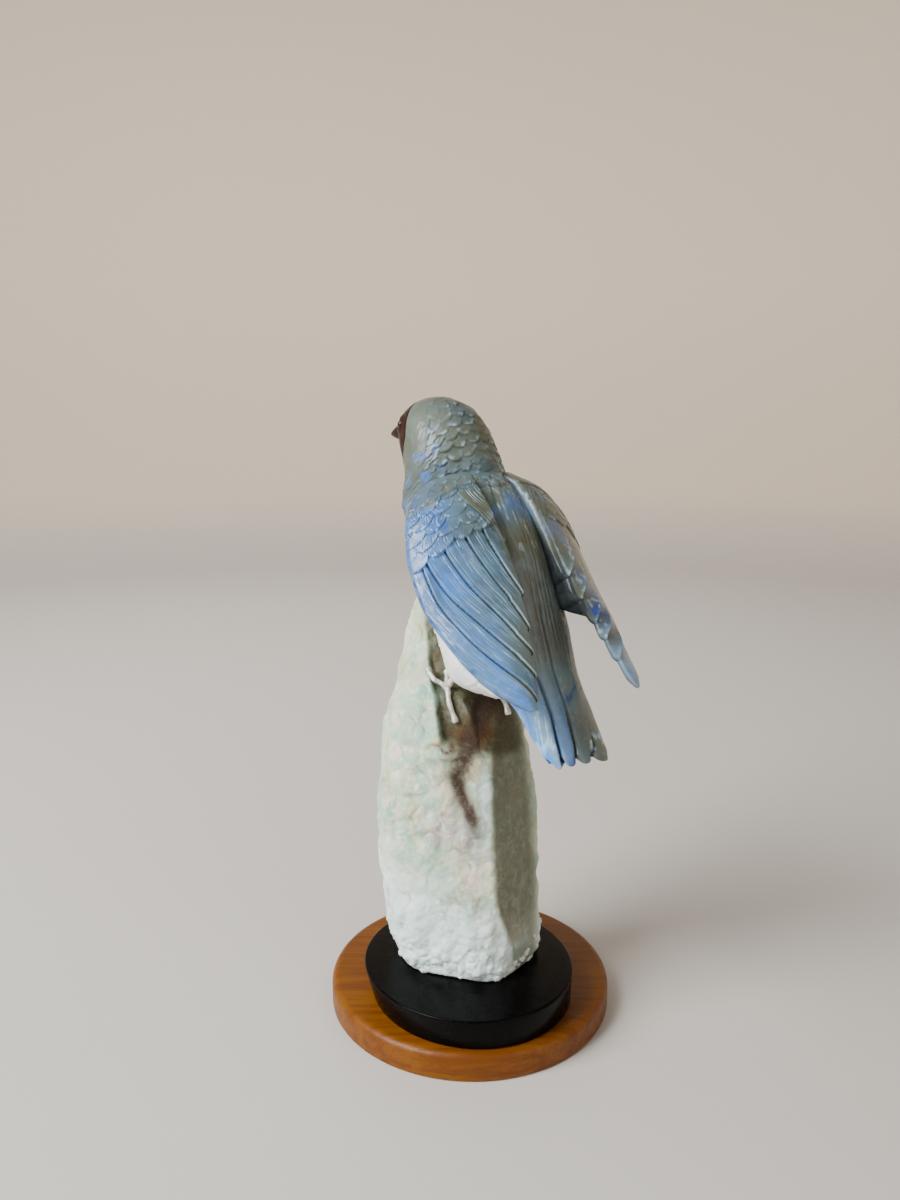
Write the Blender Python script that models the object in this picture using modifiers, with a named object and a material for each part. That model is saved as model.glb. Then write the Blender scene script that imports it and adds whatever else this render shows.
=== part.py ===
# Songbird carved in chalcedony, perched on a rough mineral rock over a black stone plinth
# and a round wooden base. Metres, +Z up. The bird faces away from -Y and to its left.
# The origin is the centre of the wooden base's underside.

import math

import bmesh
import bpy
import numpy as np
from mathutils import Matrix, Vector, noise
from mathutils.bvhtree import BVHTree

# Wooden base
WOOD_RADIUS = 0.0510
WOOD_THICKNESS = 0.0097
WOOD_EDGE_ROUND = 0.0028

# Black stone plinth, an oval disc whose side leans in towards its foot
PLINTH_THICKNESS = 0.0110
PLINTH_HALF_LENGTH = 0.0383
PLINTH_HALF_WIDTH = 0.0361
PLINTH_TURN = math.radians(-50)
PLINTH_X = -0.0010
PLINTH_Y = -0.0130
PLINTH_FOOT_SHARE = 0.955
PLINTH_FOOT_LEAN = 0.0012
PLINTH_EDGE_ROUND = 0.0007

# Rough rock
ROCK_HEIGHT = 0.1330
ROCK_LUMP = 0.0019
ROCK_HOLLOW = 0.0045

# Bird
BIRD_LENGTH = 0.1400
BIRD_HEADING = math.radians(36)
BIRD_PITCH = math.radians(57)
HEAD_TURN = math.radians(10)
WING_THICKNESS = 0.0028
FEATHER_STEP = 0.0007
BEAK_LENGTH = 0.0100
BEAK_HOOK = 0.0010
BEAK_SHARE = 0.86
BEAK_TAPER = 0.72
BEAK_TIP = 0.05
BEAK_RINGS = 5
BEAK_POINTS = 10
EYE_RADIUS = 0.0018
EYE_SUNK = 0.78
SHIN_RADIUS = 0.0012
TOE_RADIUS = 0.0010
TOE_GAP = 0.00075

# Gap that pieces seated on each other keep, and the room that the rock leaves the body
SEAT_GAP = 0.0003
BODY_ROOM = 0.0015

# Points of a cut edge closer than this are one point
WELD_REACH = 0.00002

# Levels that carry each other
PLINTH_Z = WOOD_THICKNESS + SEAT_GAP
ROCK_Z = PLINTH_Z + PLINTH_THICKNESS + SEAT_GAP

# The bird is drawn on a grid of 140 units from beak to tail, the rock on its own height
UNIT = BIRD_LENGTH / 140
ROCK_UNIT = ROCK_HEIGHT / 133


def curve_through(stations, column):
    """Smooth monotone curve through one column of a station table."""
    xs = np.array([row[0] for row in stations], float)
    ys = np.array([row[column] for row in stations], float)
    step = np.diff(xs)
    slope = np.diff(ys) / step
    tangent = np.zeros(len(xs))
    tangent[0], tangent[-1] = slope[0], slope[-1]
    for i in range(1, len(xs) - 1):
        if slope[i - 1] * slope[i] > 0:
            w1 = 2 * step[i] + step[i - 1]
            w2 = step[i] + 2 * step[i - 1]
            tangent[i] = (w1 + w2) / (w1 / slope[i - 1] + w2 / slope[i])

    def value(x):
        x = min(max(x, xs[0]), xs[-1])
        i = min(int(np.searchsorted(xs, x, side="right")) - 1, len(step) - 1)
        t = (x - xs[i]) / step[i]
        return float(
            (1 + 2 * t) * (1 - t) ** 2 * ys[i]
            + t * (1 - t) ** 2 * step[i] * tangent[i]
            + t * t * (3 - 2 * t) * ys[i + 1]
            + t * t * (t - 1) * step[i] * tangent[i + 1]
        )

    return value


def ease(x):
    """Smooth step from 0 to 1."""
    x = min(max(x, 0.0), 1.0)
    return x * x * (3 - 2 * x)


def material(name, colour, roughness, metallic=0.0):
    """Principled material of one stone, wood or metal."""
    mat = bpy.data.materials.new(name)
    mat.use_nodes = True
    shader = mat.node_tree.nodes["Principled BSDF"]
    shader.inputs["Base Color"].default_value = (*colour, 1.0)
    shader.inputs["Roughness"].default_value = roughness
    shader.inputs["Metallic"].default_value = metallic
    return mat


def add_object(name, mesh, mat=None):
    """Piece with its material, or a cutter where no material is given."""
    obj = bpy.data.objects.new(name, mesh)
    if mat is None:
        cutters.objects.link(obj)
        obj.hide_render = True
        obj.display_type = "WIRE"
        return obj
    pieces.objects.link(obj)
    mesh.materials.append(mat)
    mesh.shade_smooth()
    mesh.set_sharp_from_angle(angle=math.radians(40))
    return obj


def cut(obj, cutter):
    """Takes the cutter's volume out of a piece."""
    modifier = obj.modifiers.new(cutter.name, "BOOLEAN")
    modifier.operation = "DIFFERENCE"
    modifier.object = cutter
    modifier.solver = "EXACT"


def loft(name, rings):
    """Closed skin of flat triangles over rings of equal point count, fanned over each end."""
    bm = bmesh.new()
    rows = [[bm.verts.new(point) for point in ring] for ring in rings]
    count = len(rings[0])
    for low, high in zip(rows, rows[1:]):
        for i in range(count):
            j = (i + 1) % count
            bm.faces.new((low[i], low[j], high[j], high[i]))
    for row, ring in ((rows[0][::-1], rings[0]), (rows[-1], rings[-1])):
        hub = bm.verts.new(np.mean(np.array(ring), axis=0))
        for i in range(count):
            bm.faces.new((row[i], row[(i + 1) % count], hub))
    bmesh.ops.triangulate(bm, faces=bm.faces, quad_method="SHORT_EDGE")
    bmesh.ops.recalc_face_normals(bm, faces=bm.faces)
    mesh = bpy.data.meshes.new(name)
    bm.to_mesh(mesh)
    bm.free()
    return mesh


# Bird's own axes: forward along the back, up off the back, and out to its left
heading = np.array([-math.sin(BIRD_HEADING), math.cos(BIRD_HEADING), 0.0])
upright = np.array([0.0, 0.0, 1.0])
forward = math.cos(BIRD_PITCH) * heading + math.sin(BIRD_PITCH) * upright
off_back = -math.sin(BIRD_PITCH) * heading + math.cos(BIRD_PITCH) * upright
leftward = np.array([-math.cos(BIRD_HEADING), -math.sin(BIRD_HEADING), 0.0])

# The left foot's grip ties the bird's grid to the rock
GRIP_ON_ROCK = np.array([-9.6, -22.0, 103.9]) * ROCK_UNIT + (0, 0, ROCK_Z)
GRIP_ON_BIRD = (42.4, -32.7, 15.1)


def bird(s, n, l):
    """World point of a place on the bird's grid: along, off the back, to the left."""
    ds, dn, dl = (np.array([s, n, l]) - GRIP_ON_BIRD) * UNIT
    return GRIP_ON_ROCK + ds * forward + dn * off_back + dl * leftward


# Body from tail tip to shoulders: along, back, underside, half width, widest level
BODY = (
    (0, 1.6, -4.6, 11.3, -3.0),
    (10, 1.8, -5.6, 12.6, -3.4),
    (20, 2.3, -7.4, 13.6, -3.8),
    (25, 2.9, -11.5, 14.0, -4.2),
    (30, 3.6, -19.5, 15.0, -5.5),
    (36, 4.8, -28.5, 17.2, -8.0),
    (44, 6.5, -34.6, 19.6, -10.0),
    (54, 8.8, -36.0, 20.3, -11.0),
    (66, 11.2, -35.8, 20.6, -11.8),
    (78, 12.0, -34.5, 20.4, -12.0),
    (88, 11.2, -31.3, 19.3, -12.0),
    (97, 9.0, -27.3, 17.8, -11.0),
)
SHOULDER = 97.0

# Neck and head turn about a pivot below the chin: degrees, throat, crown, half width, widest
HEAD = (
    (0, 3.7, 40.0, 17.8, 20.0),
    (11, 5.2, 44.5, 17.0, 24.0),
    (20, 8.0, 47.6, 16.0, 28.0),
    (28, 12.0, 48.8, 14.7, 31.5),
    (36, 16.6, 48.4, 13.7, 34.0),
    (43, 20.8, 46.8, 12.4, 35.2),
    (49, 24.2, 44.4, 10.2, 35.4),
    (53, 26.9, 41.6, 7.6, 35.2),
    (56, 29.4, 39.2, 4.8, 34.8),
)
PIVOT_S, PIVOT_N = SHOULDER, -31.0
MASK_SHARE, EYE_SHARE = 0.70, 0.85
MASK_PLACE = SHOULDER + MASK_SHARE * HEAD[-1][0]
EYE_PLACE = SHOULDER + EYE_SHARE * HEAD[-1][0]
EYE_ANGLE = math.radians(10)
BEAK_PLACE = SHOULDER + HEAD[-1][0]

# The neck leans to the bird's left above the shoulders: place, lean
LEAN = (
    (0, -2.2), (15, -0.8), (30, 0.0), (78, 0.0), (90, 0.6), (97, 1.8), (104, 3.2), (110, 4.4),
    (127, 5.2), (153, 5.2),
)
NECK_TURN_PLACES = 40.0

# Seam of the white belly, as a share of the depth below the widest level
SEAM = (
    (24, 0.985), (26, 0.75), (31, 0.42), (38, 0.26), (50, 0.24), (62, 0.34), (72, 0.46),
    (80, 0.60), (87, 0.76), (93, 0.90), (97, 0.97),
)
SEAM_LIMIT = 0.99
BELLY_START = 24.6

body_curves = [curve_through(BODY, column) for column in range(1, 5)]
head_curves = [curve_through(HEAD, column) for column in range(1, 5)]
lean_of = curve_through(LEAN, 1)
seam_share = curve_through(SEAM, 1)


def section(place):
    """Top, bottom, half width and widest level of the body at a place along it."""
    if place <= SHOULDER:
        return [curve(place) for curve in body_curves]
    throat, crown, half_width, level = (curve(place - SHOULDER) for curve in head_curves)
    return [crown, throat, half_width, level]


def on_section(place, across, up):
    """World point of a place along the body, across it and up its section."""
    across += lean_of(place)
    if place <= SHOULDER:
        return bird(place, up, across)
    swing = math.radians(place - SHOULDER)
    point = bird(PIVOT_S + up * math.sin(swing), PIVOT_N + up * math.cos(swing), across)
    axis = bird(PIVOT_S, -8.0, lean_of(place))
    yaw = HEAD_TURN * ease((place - SHOULDER) / NECK_TURN_PLACES)
    dx, dy = point[0] - axis[0], point[1] - axis[1]
    point[0] = axis[0] + dx * math.cos(yaw) - dy * math.sin(yaw)
    point[1] = axis[1] + dx * math.sin(yaw) + dy * math.cos(yaw)
    return point


def skin(place, angle, grow=0.0):
    """Point of the bird's skin; angle 0 is its left side, a quarter turn its back."""
    top, bottom, half_width, level = section(place)
    rise = top + grow - level if math.sin(angle) > 0 else level - bottom + grow
    return on_section(place, (half_width + grow) * math.cos(angle), level + rise * math.sin(angle))


def seam_angle(place, below=0.0):
    """Angle under the widest level at which the belly's seam meets the skin."""
    top, bottom, half_width, level = section(place)
    share = seam_share(place) + below / (level - bottom)
    return math.asin(min(share, SEAM_LIMIT))


# Tail feathers: how far each rounded tip stands out, and how far the tail's end is cut askew
TAIL_FEATHERS = 4
TAIL_SCALLOP = 2.6
TAIL_SKEW = 0.9
TAIL_END = 1.5

# Rings along the bird, and points round a ring of each stone
TAIL_RINGS, BODY_RINGS, HEAD_RINGS, MASK_RINGS = 6, 19, 13, 7
BACK_POINTS, BELLY_POINTS, MASK_POINTS, CUTTER_POINTS, PLINTH_POINTS = 28, 14, 20, 28, 44
CUTTER_START = 12.0


def spread(start, end, count):
    """Evenly spaced places beyond the start, the end included."""
    return [start + (end - start) * i / count for i in range(1, count + 1)]


body_places = [TAIL_END] + spread(TAIL_END, BELLY_START, TAIL_RINGS)
body_places += spread(BELLY_START, SHOULDER, BODY_RINGS)
head_places = spread(SHOULDER, MASK_PLACE, HEAD_RINGS)


def arc(place, start, end, count):
    """Points of the skin along an arc of one section."""
    return [skin(place, start + (end - start) * i / (count - 1)) for i in range(count)]


def tail_tip(angle):
    """Distance that a tail feather's rounded tip runs back at an angle of the section."""
    across = (1 - math.cos(angle)) / 2 * TAIL_FEATHERS
    scallop = abs(math.sin(math.pi * across)) ** 0.7
    return TAIL_SCALLOP * (scallop - 0.54) - TAIL_SKEW * math.cos(angle)


def back_and_head():
    """Head, nape, back, rump and tail in one stone, flat below where the belly seats."""
    rings = []
    for place in body_places + head_places:
        dip = seam_angle(place)
        rings.append(arc(place, -dip, math.pi + dip, BACK_POINTS))
    dip = seam_angle(TAIL_END)
    for i in range(BACK_POINTS):
        angle = -dip + (math.pi + 2 * dip) * i / (BACK_POINTS - 1)
        rings[0][i] = rings[0][i] - tail_tip(angle) * UNIT * forward
    return loft("back_and_head", rings)


def belly():
    """White breast and belly, set into the underside along its seam."""
    gap = SEAT_GAP / UNIT
    rings = []
    for place in [p for p in body_places if p >= BELLY_START]:
        dip = seam_angle(place, gap)
        rings.append(arc(place, math.pi + dip, 2 * math.pi - dip, BELLY_POINTS))
    return loft("belly", rings)


def face_mask():
    """Red face from forehead to throat, seated against the head."""
    throat = section(MASK_PLACE)[1]
    seat = MASK_PLACE + math.degrees(SEAT_GAP / (throat * UNIT))
    places = [seat] + spread(seat, BEAK_PLACE, MASK_RINGS)
    turns = spread(0.0, 2 * math.pi, MASK_POINTS)
    return loft("face_mask", [[skin(place, turn) for turn in turns] for place in places])


def head_axes():
    """Centre of the beak's seat, and the head's own forward, up and left."""
    top, bottom, half_width, level = section(BEAK_PLACE)
    middle = (top + bottom) / 2
    seat = on_section(BEAK_PLACE, 0.0, middle)
    up = on_section(BEAK_PLACE, 0.0, middle + 1) - seat
    left = on_section(BEAK_PLACE, 1.0, middle) - seat
    up, left = up / np.linalg.norm(up), left / np.linalg.norm(left)
    return seat, np.cross(left, up), up, left


def beak():
    """Short pointed beak, a little hooked over at its tip."""
    seat, ahead, up, left = head_axes()
    top, bottom, half_width, level = section(BEAK_PLACE)
    tall, wide = (top - bottom) / 2 * UNIT * BEAK_SHARE, half_width * UNIT * BEAK_SHARE
    rings = []
    for t in [0.0] + spread(0.0, 1.0, BEAK_RINGS):
        size = (1 - t) ** BEAK_TAPER + BEAK_TIP
        centre = seat + ahead * (SEAT_GAP + BEAK_LENGTH * t) - up * BEAK_HOOK * t * t
        rings.append([
            centre + up * tall * size * math.sin(a) + left * wide * size * math.cos(a)
            for a in spread(0.0, 2 * math.pi, BEAK_POINTS)
        ])
    return loft("beak", rings)


# Wing edges on the bird's grid: along, then leading and trailing edge as level and distance out
LEADING = (
    (17, 13.0, 21.6), (20.5, 10.4, 24.9), (30, 5.6, 29.6), (44, 1.4, 33.8), (59, -2.0, 35.5),
    (70, -2.2, 35.2), (82, -0.7, 33.0), (91, -0.6, 28.3), (98, -1.0, 19.0),
)
TRAILING = (
    (17, 13.2, 20.8), (26, 14.0, 16.3), (40, 14.1, 12.4), (54, 13.7, 9.4), (76, 13.0, 9.2),
    (91, 10.0, 9.0), (98, 6.0, 6.5),
)
# Long feathers: where each tip lies along the wing, and how far across its edge runs
LONG_FEATHERS = ((50.7, 0.33), (40.3, 0.55), (32.0, 0.70), (25.6, 0.85), (19.8, 0.92))
FEATHER_REACH = 11.0
FEATHER_BUNCH = 0.022
FEATHER_RISER = 0.012
NOTCH = 1.4
WING_CAMBER = 0.10
WING_START, WING_END = 17.0, 98.0
COVERT_TOP, COVERT_FALL = 75.0, 14.3
# Depth of the stone under the trailing edge and at the shoulder: depth, where it starts, its ramp
WEB_DEPTH, WEB_START, WEB_RAMP = 8.0, 40.0, 10.0
ROOT_DEPTH, ROOT_START, ROOT_RAMP = 9.0, 72.0, 20.0
WING_TIP_RAMP = 5.0

leading_level, leading_out = curve_through(LEADING, 1), curve_through(LEADING, 2)
trailing_level, trailing_out = curve_through(TRAILING, 1), curve_through(TRAILING, 2)


def feather_edge(index, place):
    """Share of the wing's width at which a long feather's outer edge lies."""
    tip, reach = LONG_FEATHERS[index]
    bunched = FEATHER_BUNCH * (index + 1)
    return max(reach * (1 - math.exp(-(place - tip) / FEATHER_REACH)), bunched)


def notch(place):
    """Step outward of the trailing edge below each long feather's tip."""
    tips = [tip for tip, reach in LONG_FEATHERS] + [WING_START]
    for upper, lower in zip(tips, tips[1:]):
        if lower < place < upper:
            return NOTCH * (place - lower) / (upper - lower)
    return 0.0


def covert_line(across):
    """Place along the wing where the small covering feathers end."""
    return COVERT_TOP - COVERT_FALL * across ** 1.3


def wing_point(place, across, lift, side):
    """Point over the wing's chord; across runs from the trailing to the leading edge."""
    n0, l0 = trailing_level(place), trailing_out(place) + notch(place)
    n1, l1 = leading_level(place), leading_out(place)
    chord = math.hypot(n1 - n0, l1 - l0) + 1e-6
    out_n, out_l = (l1 - l0) / chord, -(n1 - n0) / chord
    lift += WING_CAMBER * chord * 4 * across * (1 - across)
    n = n0 + (n1 - n0) * across + lift * out_n
    l = l0 + (l1 - l0) * across + lift * out_l
    return bird(place, n, l * side)


def wing(name, side):
    """Flared wing with stepped long feathers; its thick root reaches into the shoulder."""
    step, thick = FEATHER_STEP / UNIT, WING_THICKNESS / UNIT
    tips = [WING_START] + [tip for tip, reach in reversed(LONG_FEATHERS)]
    places = [WING_START] + spread(tips[-1], WING_END, 11)
    for lower, tip in zip(tips, tips[1:]):
        places += [(lower + tip) / 2, tip - 0.3, tip + 0.3]
    rings = []
    for place in sorted(places):
        tip_share = min((place - WING_START + 0.7) / WING_TIP_RAMP, 1.0) ** 0.5
        web = WEB_DEPTH * ease((place - WEB_START) / WEB_RAMP)
        root = ROOT_DEPTH * ease((place - ROOT_START) / ROOT_RAMP)
        upper = [(0.0, 0.0)]
        for index, (tip, reach) in enumerate(LONG_FEATHERS):
            edge = feather_edge(index, place)
            high = step if place > tip else 0.0
            upper += [(edge, high), (edge + FEATHER_RISER, 0.0)]
        upper += [(0.95, 0.3 * step), (1.0, -0.35 * thick)]
        ring = []
        for across, height in upper:
            covert = ease((place - covert_line(across)) / 2.0)
            height = height * (1 - covert) + covert * step
            ring.append(wing_point(place, across, height * tip_share, side))
        for across, depth in ((0.97, 0.8), (0.8, 1.1), (0.5, 1.1), (0.25, 0.9), (0.0, 0.5)):
            reach = max(root, web * min(1.0, 1.3 - 1.6 * across))
            ring.append(wing_point(place, across, -thick * depth * tip_share - reach, side))
        rings.append(ring)
    return loft(name, rings)


# Rock outline on its own height: height, left, right, front, back, from the base's centre
ROCK = (
    (0, -25.5, 23.5, -29.0, 9.0),
    (4, -27.3, 24.8, -30.6, 11.0),
    (24, -31.0, 25.0, -31.0, 16.0),
    (50, -33.2, 23.7, -30.1, 18.0),
    (74, -31.4, 20.8, -28.4, 19.0),
    (93, -28.6, 15.5, -26.8, 20.5),
    (100, -27.0, 10.0, -23.6, 21.0),
    (104, -26.0, 7.5, -16.0, 21.5),
    (111, -24.0, 6.5, -6.8, 22.0),
    (120, -21.2, 5.0, -1.0, 21.5),
    (128, -18.6, 2.0, 3.0, 20.0),
    (133, -15.5, -2.5, 6.5, 17.0),
)
# Broad faces of the rock: direction and distance, as shares of its half widths
ROCK_FACES = ((0, 0.97), (50, 1.02), (98, 0.97), (150, 1.0), (200, 0.97), (250, 0.88), (325, 0.88))
ROCK_EDGE = 9.0
ROCK_POINTS = 30
ROCK_STEP = 4.1
LUMP_SIZE, LUMP_FINE = 12.0, 5.0
# Hollow below the feet: its place across and up, and its reach each way
HOLLOW_X, HOLLOW_HEIGHT, HOLLOW_WIDE, HOLLOW_TALL = -2.0, 84.0, 7.0, 14.0
rock_curves = [curve_through(ROCK, column) for column in range(1, 5)]


def rock_reach(angle):
    """Radius of the rock's many-sided section, with softened edges."""
    total = 0.0
    for direction, distance in ROCK_FACES:
        facing = math.cos(angle - math.radians(direction))
        if facing > 0:
            total += (facing / distance) ** ROCK_EDGE
    return total ** (-1 / ROCK_EDGE)


def rock_ring_point(angle):
    """Point of the many-sided section at an angle round it."""
    return rock_reach(angle) * np.array([math.cos(angle), math.sin(angle)])


rock_section = [rock_ring_point(angle) for angle in spread(0.0, 2 * math.pi, 360)]
rock_low, rock_high = np.min(rock_section, axis=0), np.max(rock_section, axis=0)


def rock_point(height, angle):
    """Point of the rock's surface at a height and an angle round it."""
    left, right, front, back = (curve(height) for curve in rock_curves)
    x, y = (rock_ring_point(angle) - rock_low) / (rock_high - rock_low)
    point = np.array([left + x * (right - left), front + y * (back - front), height])
    hollow = math.exp(
        -((point[0] - HOLLOW_X) / HOLLOW_WIDE) ** 2 - ((height - HOLLOW_HEIGHT) / HOLLOW_TALL) ** 2
    )
    lump = noise.noise(Vector(point / LUMP_SIZE)) + 0.5 * noise.noise(Vector(point / LUMP_FINE))
    push = ROCK_LUMP * lump - ROCK_HOLLOW * hollow * (y < 0.5)
    out = np.array([math.cos(angle), math.sin(angle), 0.0])
    return point * ROCK_UNIT + out * push + (0, 0, ROCK_Z)


def perch_rock():
    """Upright lump of rough mineral, flat below."""
    top = ROCK[-1][0]
    heights = [0.0, ROCK_STEP / 3] + spread(ROCK_STEP / 3, top, round(top / ROCK_STEP))
    turns = spread(0.0, 2 * math.pi, ROCK_POINTS)
    return loft("perch_rock", [[rock_point(height, turn) for turn in turns] for height in heights])


def oval_ring(half_length, half_width, x, y, z):
    """Level oval ring of the plinth."""
    ring = []
    for a in spread(0.0, 2 * math.pi, PLINTH_POINTS):
        u, v = half_length * math.cos(a), half_width * math.sin(a)
        ring.append((
            x + u * math.cos(PLINTH_TURN) - v * math.sin(PLINTH_TURN),
            y + u * math.sin(PLINTH_TURN) + v * math.cos(PLINTH_TURN),
            z,
        ))
    return ring


def black_plinth():
    """Oval stone disc, narrower at its foot, with a softened top edge."""
    rings = []
    for level in (0.0, 0.5, 1.0):
        rise = level * (PLINTH_THICKNESS - PLINTH_EDGE_ROUND)
        share = PLINTH_FOOT_SHARE + (1 - PLINTH_FOOT_SHARE) * level
        lean = PLINTH_FOOT_LEAN * (1 - level)
        rings.append(oval_ring(
            PLINTH_HALF_LENGTH * share, PLINTH_HALF_WIDTH * share,
            PLINTH_X + lean, PLINTH_Y + lean / 3, PLINTH_Z + rise,
        ))
    for turn in (45, 90):
        inset = PLINTH_EDGE_ROUND * (1 - math.cos(math.radians(turn)))
        drop = PLINTH_EDGE_ROUND * (1 - math.sin(math.radians(turn)))
        rings.append(oval_ring(
            PLINTH_HALF_LENGTH - inset, PLINTH_HALF_WIDTH - inset,
            PLINTH_X, PLINTH_Y, PLINTH_Z + PLINTH_THICKNESS - drop,
        ))
    return loft("black_plinth", rings)


def wood_base():
    """Turned wooden disc with a rounded edge."""
    points = [(0.0, WOOD_THICKNESS)]
    round_x, round_z = WOOD_RADIUS - WOOD_EDGE_ROUND, WOOD_THICKNESS - WOOD_EDGE_ROUND
    for k in range(5):
        a = math.radians(90 - 22.5 * k)
        points.append((
            round_x + WOOD_EDGE_ROUND * math.cos(a),
            round_z + WOOD_EDGE_ROUND * math.sin(a),
        ))
    foot = WOOD_EDGE_ROUND / 3
    points += [(WOOD_RADIUS, foot), (WOOD_RADIUS - foot, 0.0), (0.0, 0.0)]
    mesh = bpy.data.meshes.new("wood_base")
    mesh.from_pydata([(x, 0, z) for x, z in points], [(i, i + 1) for i in range(len(points) - 1)], [])
    obj = add_object("wood_base", mesh, material("oak", (0.55, 0.30, 0.11), 0.45))
    screw = obj.modifiers.new("turned", "SCREW")
    screw.steps = screw.render_steps = 56
    screw.use_merge_vertices = True
    screw.merge_threshold = 0.00001
    screw.use_smooth_shade = True
    return obj


def body_cutter(name, room):
    """Whole body, grown all over by the room that others keep to it."""
    places = [p for p in body_places + head_places if p > CUTTER_START]
    turns = spread(0.0, 2 * math.pi, CUTTER_POINTS)
    rings = [[skin(place, turn, room / UNIT) for turn in turns] for place in places]
    return add_object(name, loft(name, rings))


def bead(name, centre, radius):
    """Small faceted ball."""
    mesh = bpy.data.meshes.new(name)
    bm = bmesh.new()
    place = Matrix.Translation(Vector(centre))
    bmesh.ops.create_icosphere(bm, subdivisions=2, radius=radius, matrix=place)
    bm.to_mesh(mesh)
    bm.free()
    return mesh


def eye(name, side, mask, mat):
    """Black bead in a socket of the face."""
    turn = EYE_ANGLE if side > 0 else math.pi - EYE_ANGLE
    surface = skin(EYE_PLACE, turn)
    outward = skin(EYE_PLACE, turn, 1.0) - surface
    outward /= np.linalg.norm(outward)
    centre = surface - outward * EYE_RADIUS * EYE_SUNK
    cut(mask, add_object(name + "_socket", bead(name + "_socket", centre, EYE_RADIUS + SEAT_GAP)))
    add_object(name, bead(name, centre, EYE_RADIUS), mat)


def rock_surface(rock):
    """Search tree over the finished rock."""
    bpy.context.view_layer.update()
    return BVHTree.FromObject(rock, bpy.context.evaluated_depsgraph_get())


def tube(name, points, radius):
    """Closed round bar through points."""
    curve = bpy.data.curves.new(name, "CURVE")
    curve.dimensions = "3D"
    curve.bevel_depth = radius
    curve.bevel_resolution = 1
    curve.use_fill_caps = True
    spline = curve.splines.new("POLY")
    spline.points.add(len(points) - 1)
    for knot, point in zip(spline.points, points):
        knot.co = (*point, 1.0)
    obj = bpy.data.objects.new(name, curve)
    cutters.objects.link(obj)
    bpy.context.view_layer.update()
    mesh = bpy.data.meshes.new_from_object(obj.evaluated_get(bpy.context.evaluated_depsgraph_get()))
    bpy.data.objects.remove(obj)
    bm = bmesh.new()
    bm.from_mesh(mesh)
    bmesh.ops.remove_doubles(bm, verts=bm.verts, dist=0.00002)
    bmesh.ops.recalc_face_normals(bm, faces=bm.faces)
    bm.to_mesh(mesh)
    bm.free()
    return mesh


def toe_point(place, surface):
    """Nearest place for a toe that rests on the rock."""
    where, normal, face, distance = surface.find_nearest(Vector(place))
    return np.array(where) + np.array(normal) * (TOE_RADIUS + TOE_GAP)


def toe_path(start, end, surface):
    """Way of a toe over the rock, from the foot to its claw."""
    return [toe_point(start * (1 - t) + end * t, surface) for t in [0.0] + spread(0.0, 1.0, 6)]


# Feet on the bird's grid, for each side: ankle, then the ends of the toes
FEET = {
    1: ((42.5, -35.0, 12.6), (28.7, -37.0, 12.3), (50.4, -39.8, 13.6), (47.0, -40.0, 7.0)),
    -1: ((38.5, -36.0, -6.0), (27.0, -35.0, -7.0), (40.0, -46.0, -4.0), (36.0, -43.0, -13.0)),
}
HIP = (47.0, -24.0, 9.0)


def leg(name, side, surface, seat, mat):
    """Cast shin and toes; its top is cut to seat on the belly."""
    ankle, *claws = (bird(*place) for place in FEET[side])
    foot = toe_point(ankle, surface)
    hip = bird(HIP[0], HIP[1], HIP[2] * side)
    obj = add_object(name, tube(name, [hip, foot * 0.9 + hip * 0.1, foot], SHIN_RADIUS), mat)
    for number, claw in enumerate(claws):
        toe = "%s_toe_%d" % (name, number)
        cutter = add_object(toe, tube(toe, toe_path(foot, claw, surface), TOE_RADIUS))
        join = obj.modifiers.new(toe, "BOOLEAN")
        join.operation = "UNION"
        join.object = cutter
        join.solver = "EXACT"
    cut(obj, seat)


for old in list(bpy.data.objects):
    bpy.data.objects.remove(old)
pieces = bpy.data.collections.new("songbird_carving")
cutters = bpy.data.collections.new("cutters")
bpy.context.scene.collection.children.link(pieces)
bpy.context.scene.collection.children.link(cutters)

wood_base()
add_object("black_plinth", black_plinth(), material("black_stone", (0.015, 0.016, 0.018), 0.2))
rock = add_object("perch_rock", perch_rock(), material("rough_mineral", (0.62, 0.70, 0.60), 0.85))
chalcedony = material("chalcedony", (0.30, 0.42, 0.60), 0.3)
add_object("back_and_head", back_and_head(), chalcedony)
add_object("belly", belly(), material("white_stone", (0.85, 0.84, 0.78), 0.5))
mask = add_object("face_mask", face_mask(), material("jasper", (0.28, 0.11, 0.07), 0.35))
add_object("beak", beak(), material("dark_stone", (0.06, 0.045, 0.035), 0.3))
body_seat = body_cutter("body_seat", SEAT_GAP)
for side, name in ((1, "left_wing"), (-1, "right_wing")):
    cut(add_object(name, wing(name, side), chalcedony), body_seat)
cut(rock, body_cutter("body_room", BODY_ROOM))
eye_black = material("eye_black", (0.01, 0.01, 0.01), 0.08)
for side, name in ((1, "left_eye"), (-1, "right_eye")):
    eye(name, side, mask, eye_black)
white_metal = material("white_metal", (0.80, 0.79, 0.76), 0.35, 0.9)
skin_of_rock = rock_surface(rock)
for side, name in ((1, "left_leg"), (-1, "right_leg")):
    leg(name, side, skin_of_rock, body_seat, white_metal)
for piece in pieces.objects:
    if any(modifier.type == "BOOLEAN" for modifier in piece.modifiers):
        piece.modifiers.new("weld", "WELD").merge_threshold = WELD_REACH
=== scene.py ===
import math
import bpy
import numpy as np
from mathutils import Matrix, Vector
from mathutils.bvhtree import BVHTree


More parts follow.
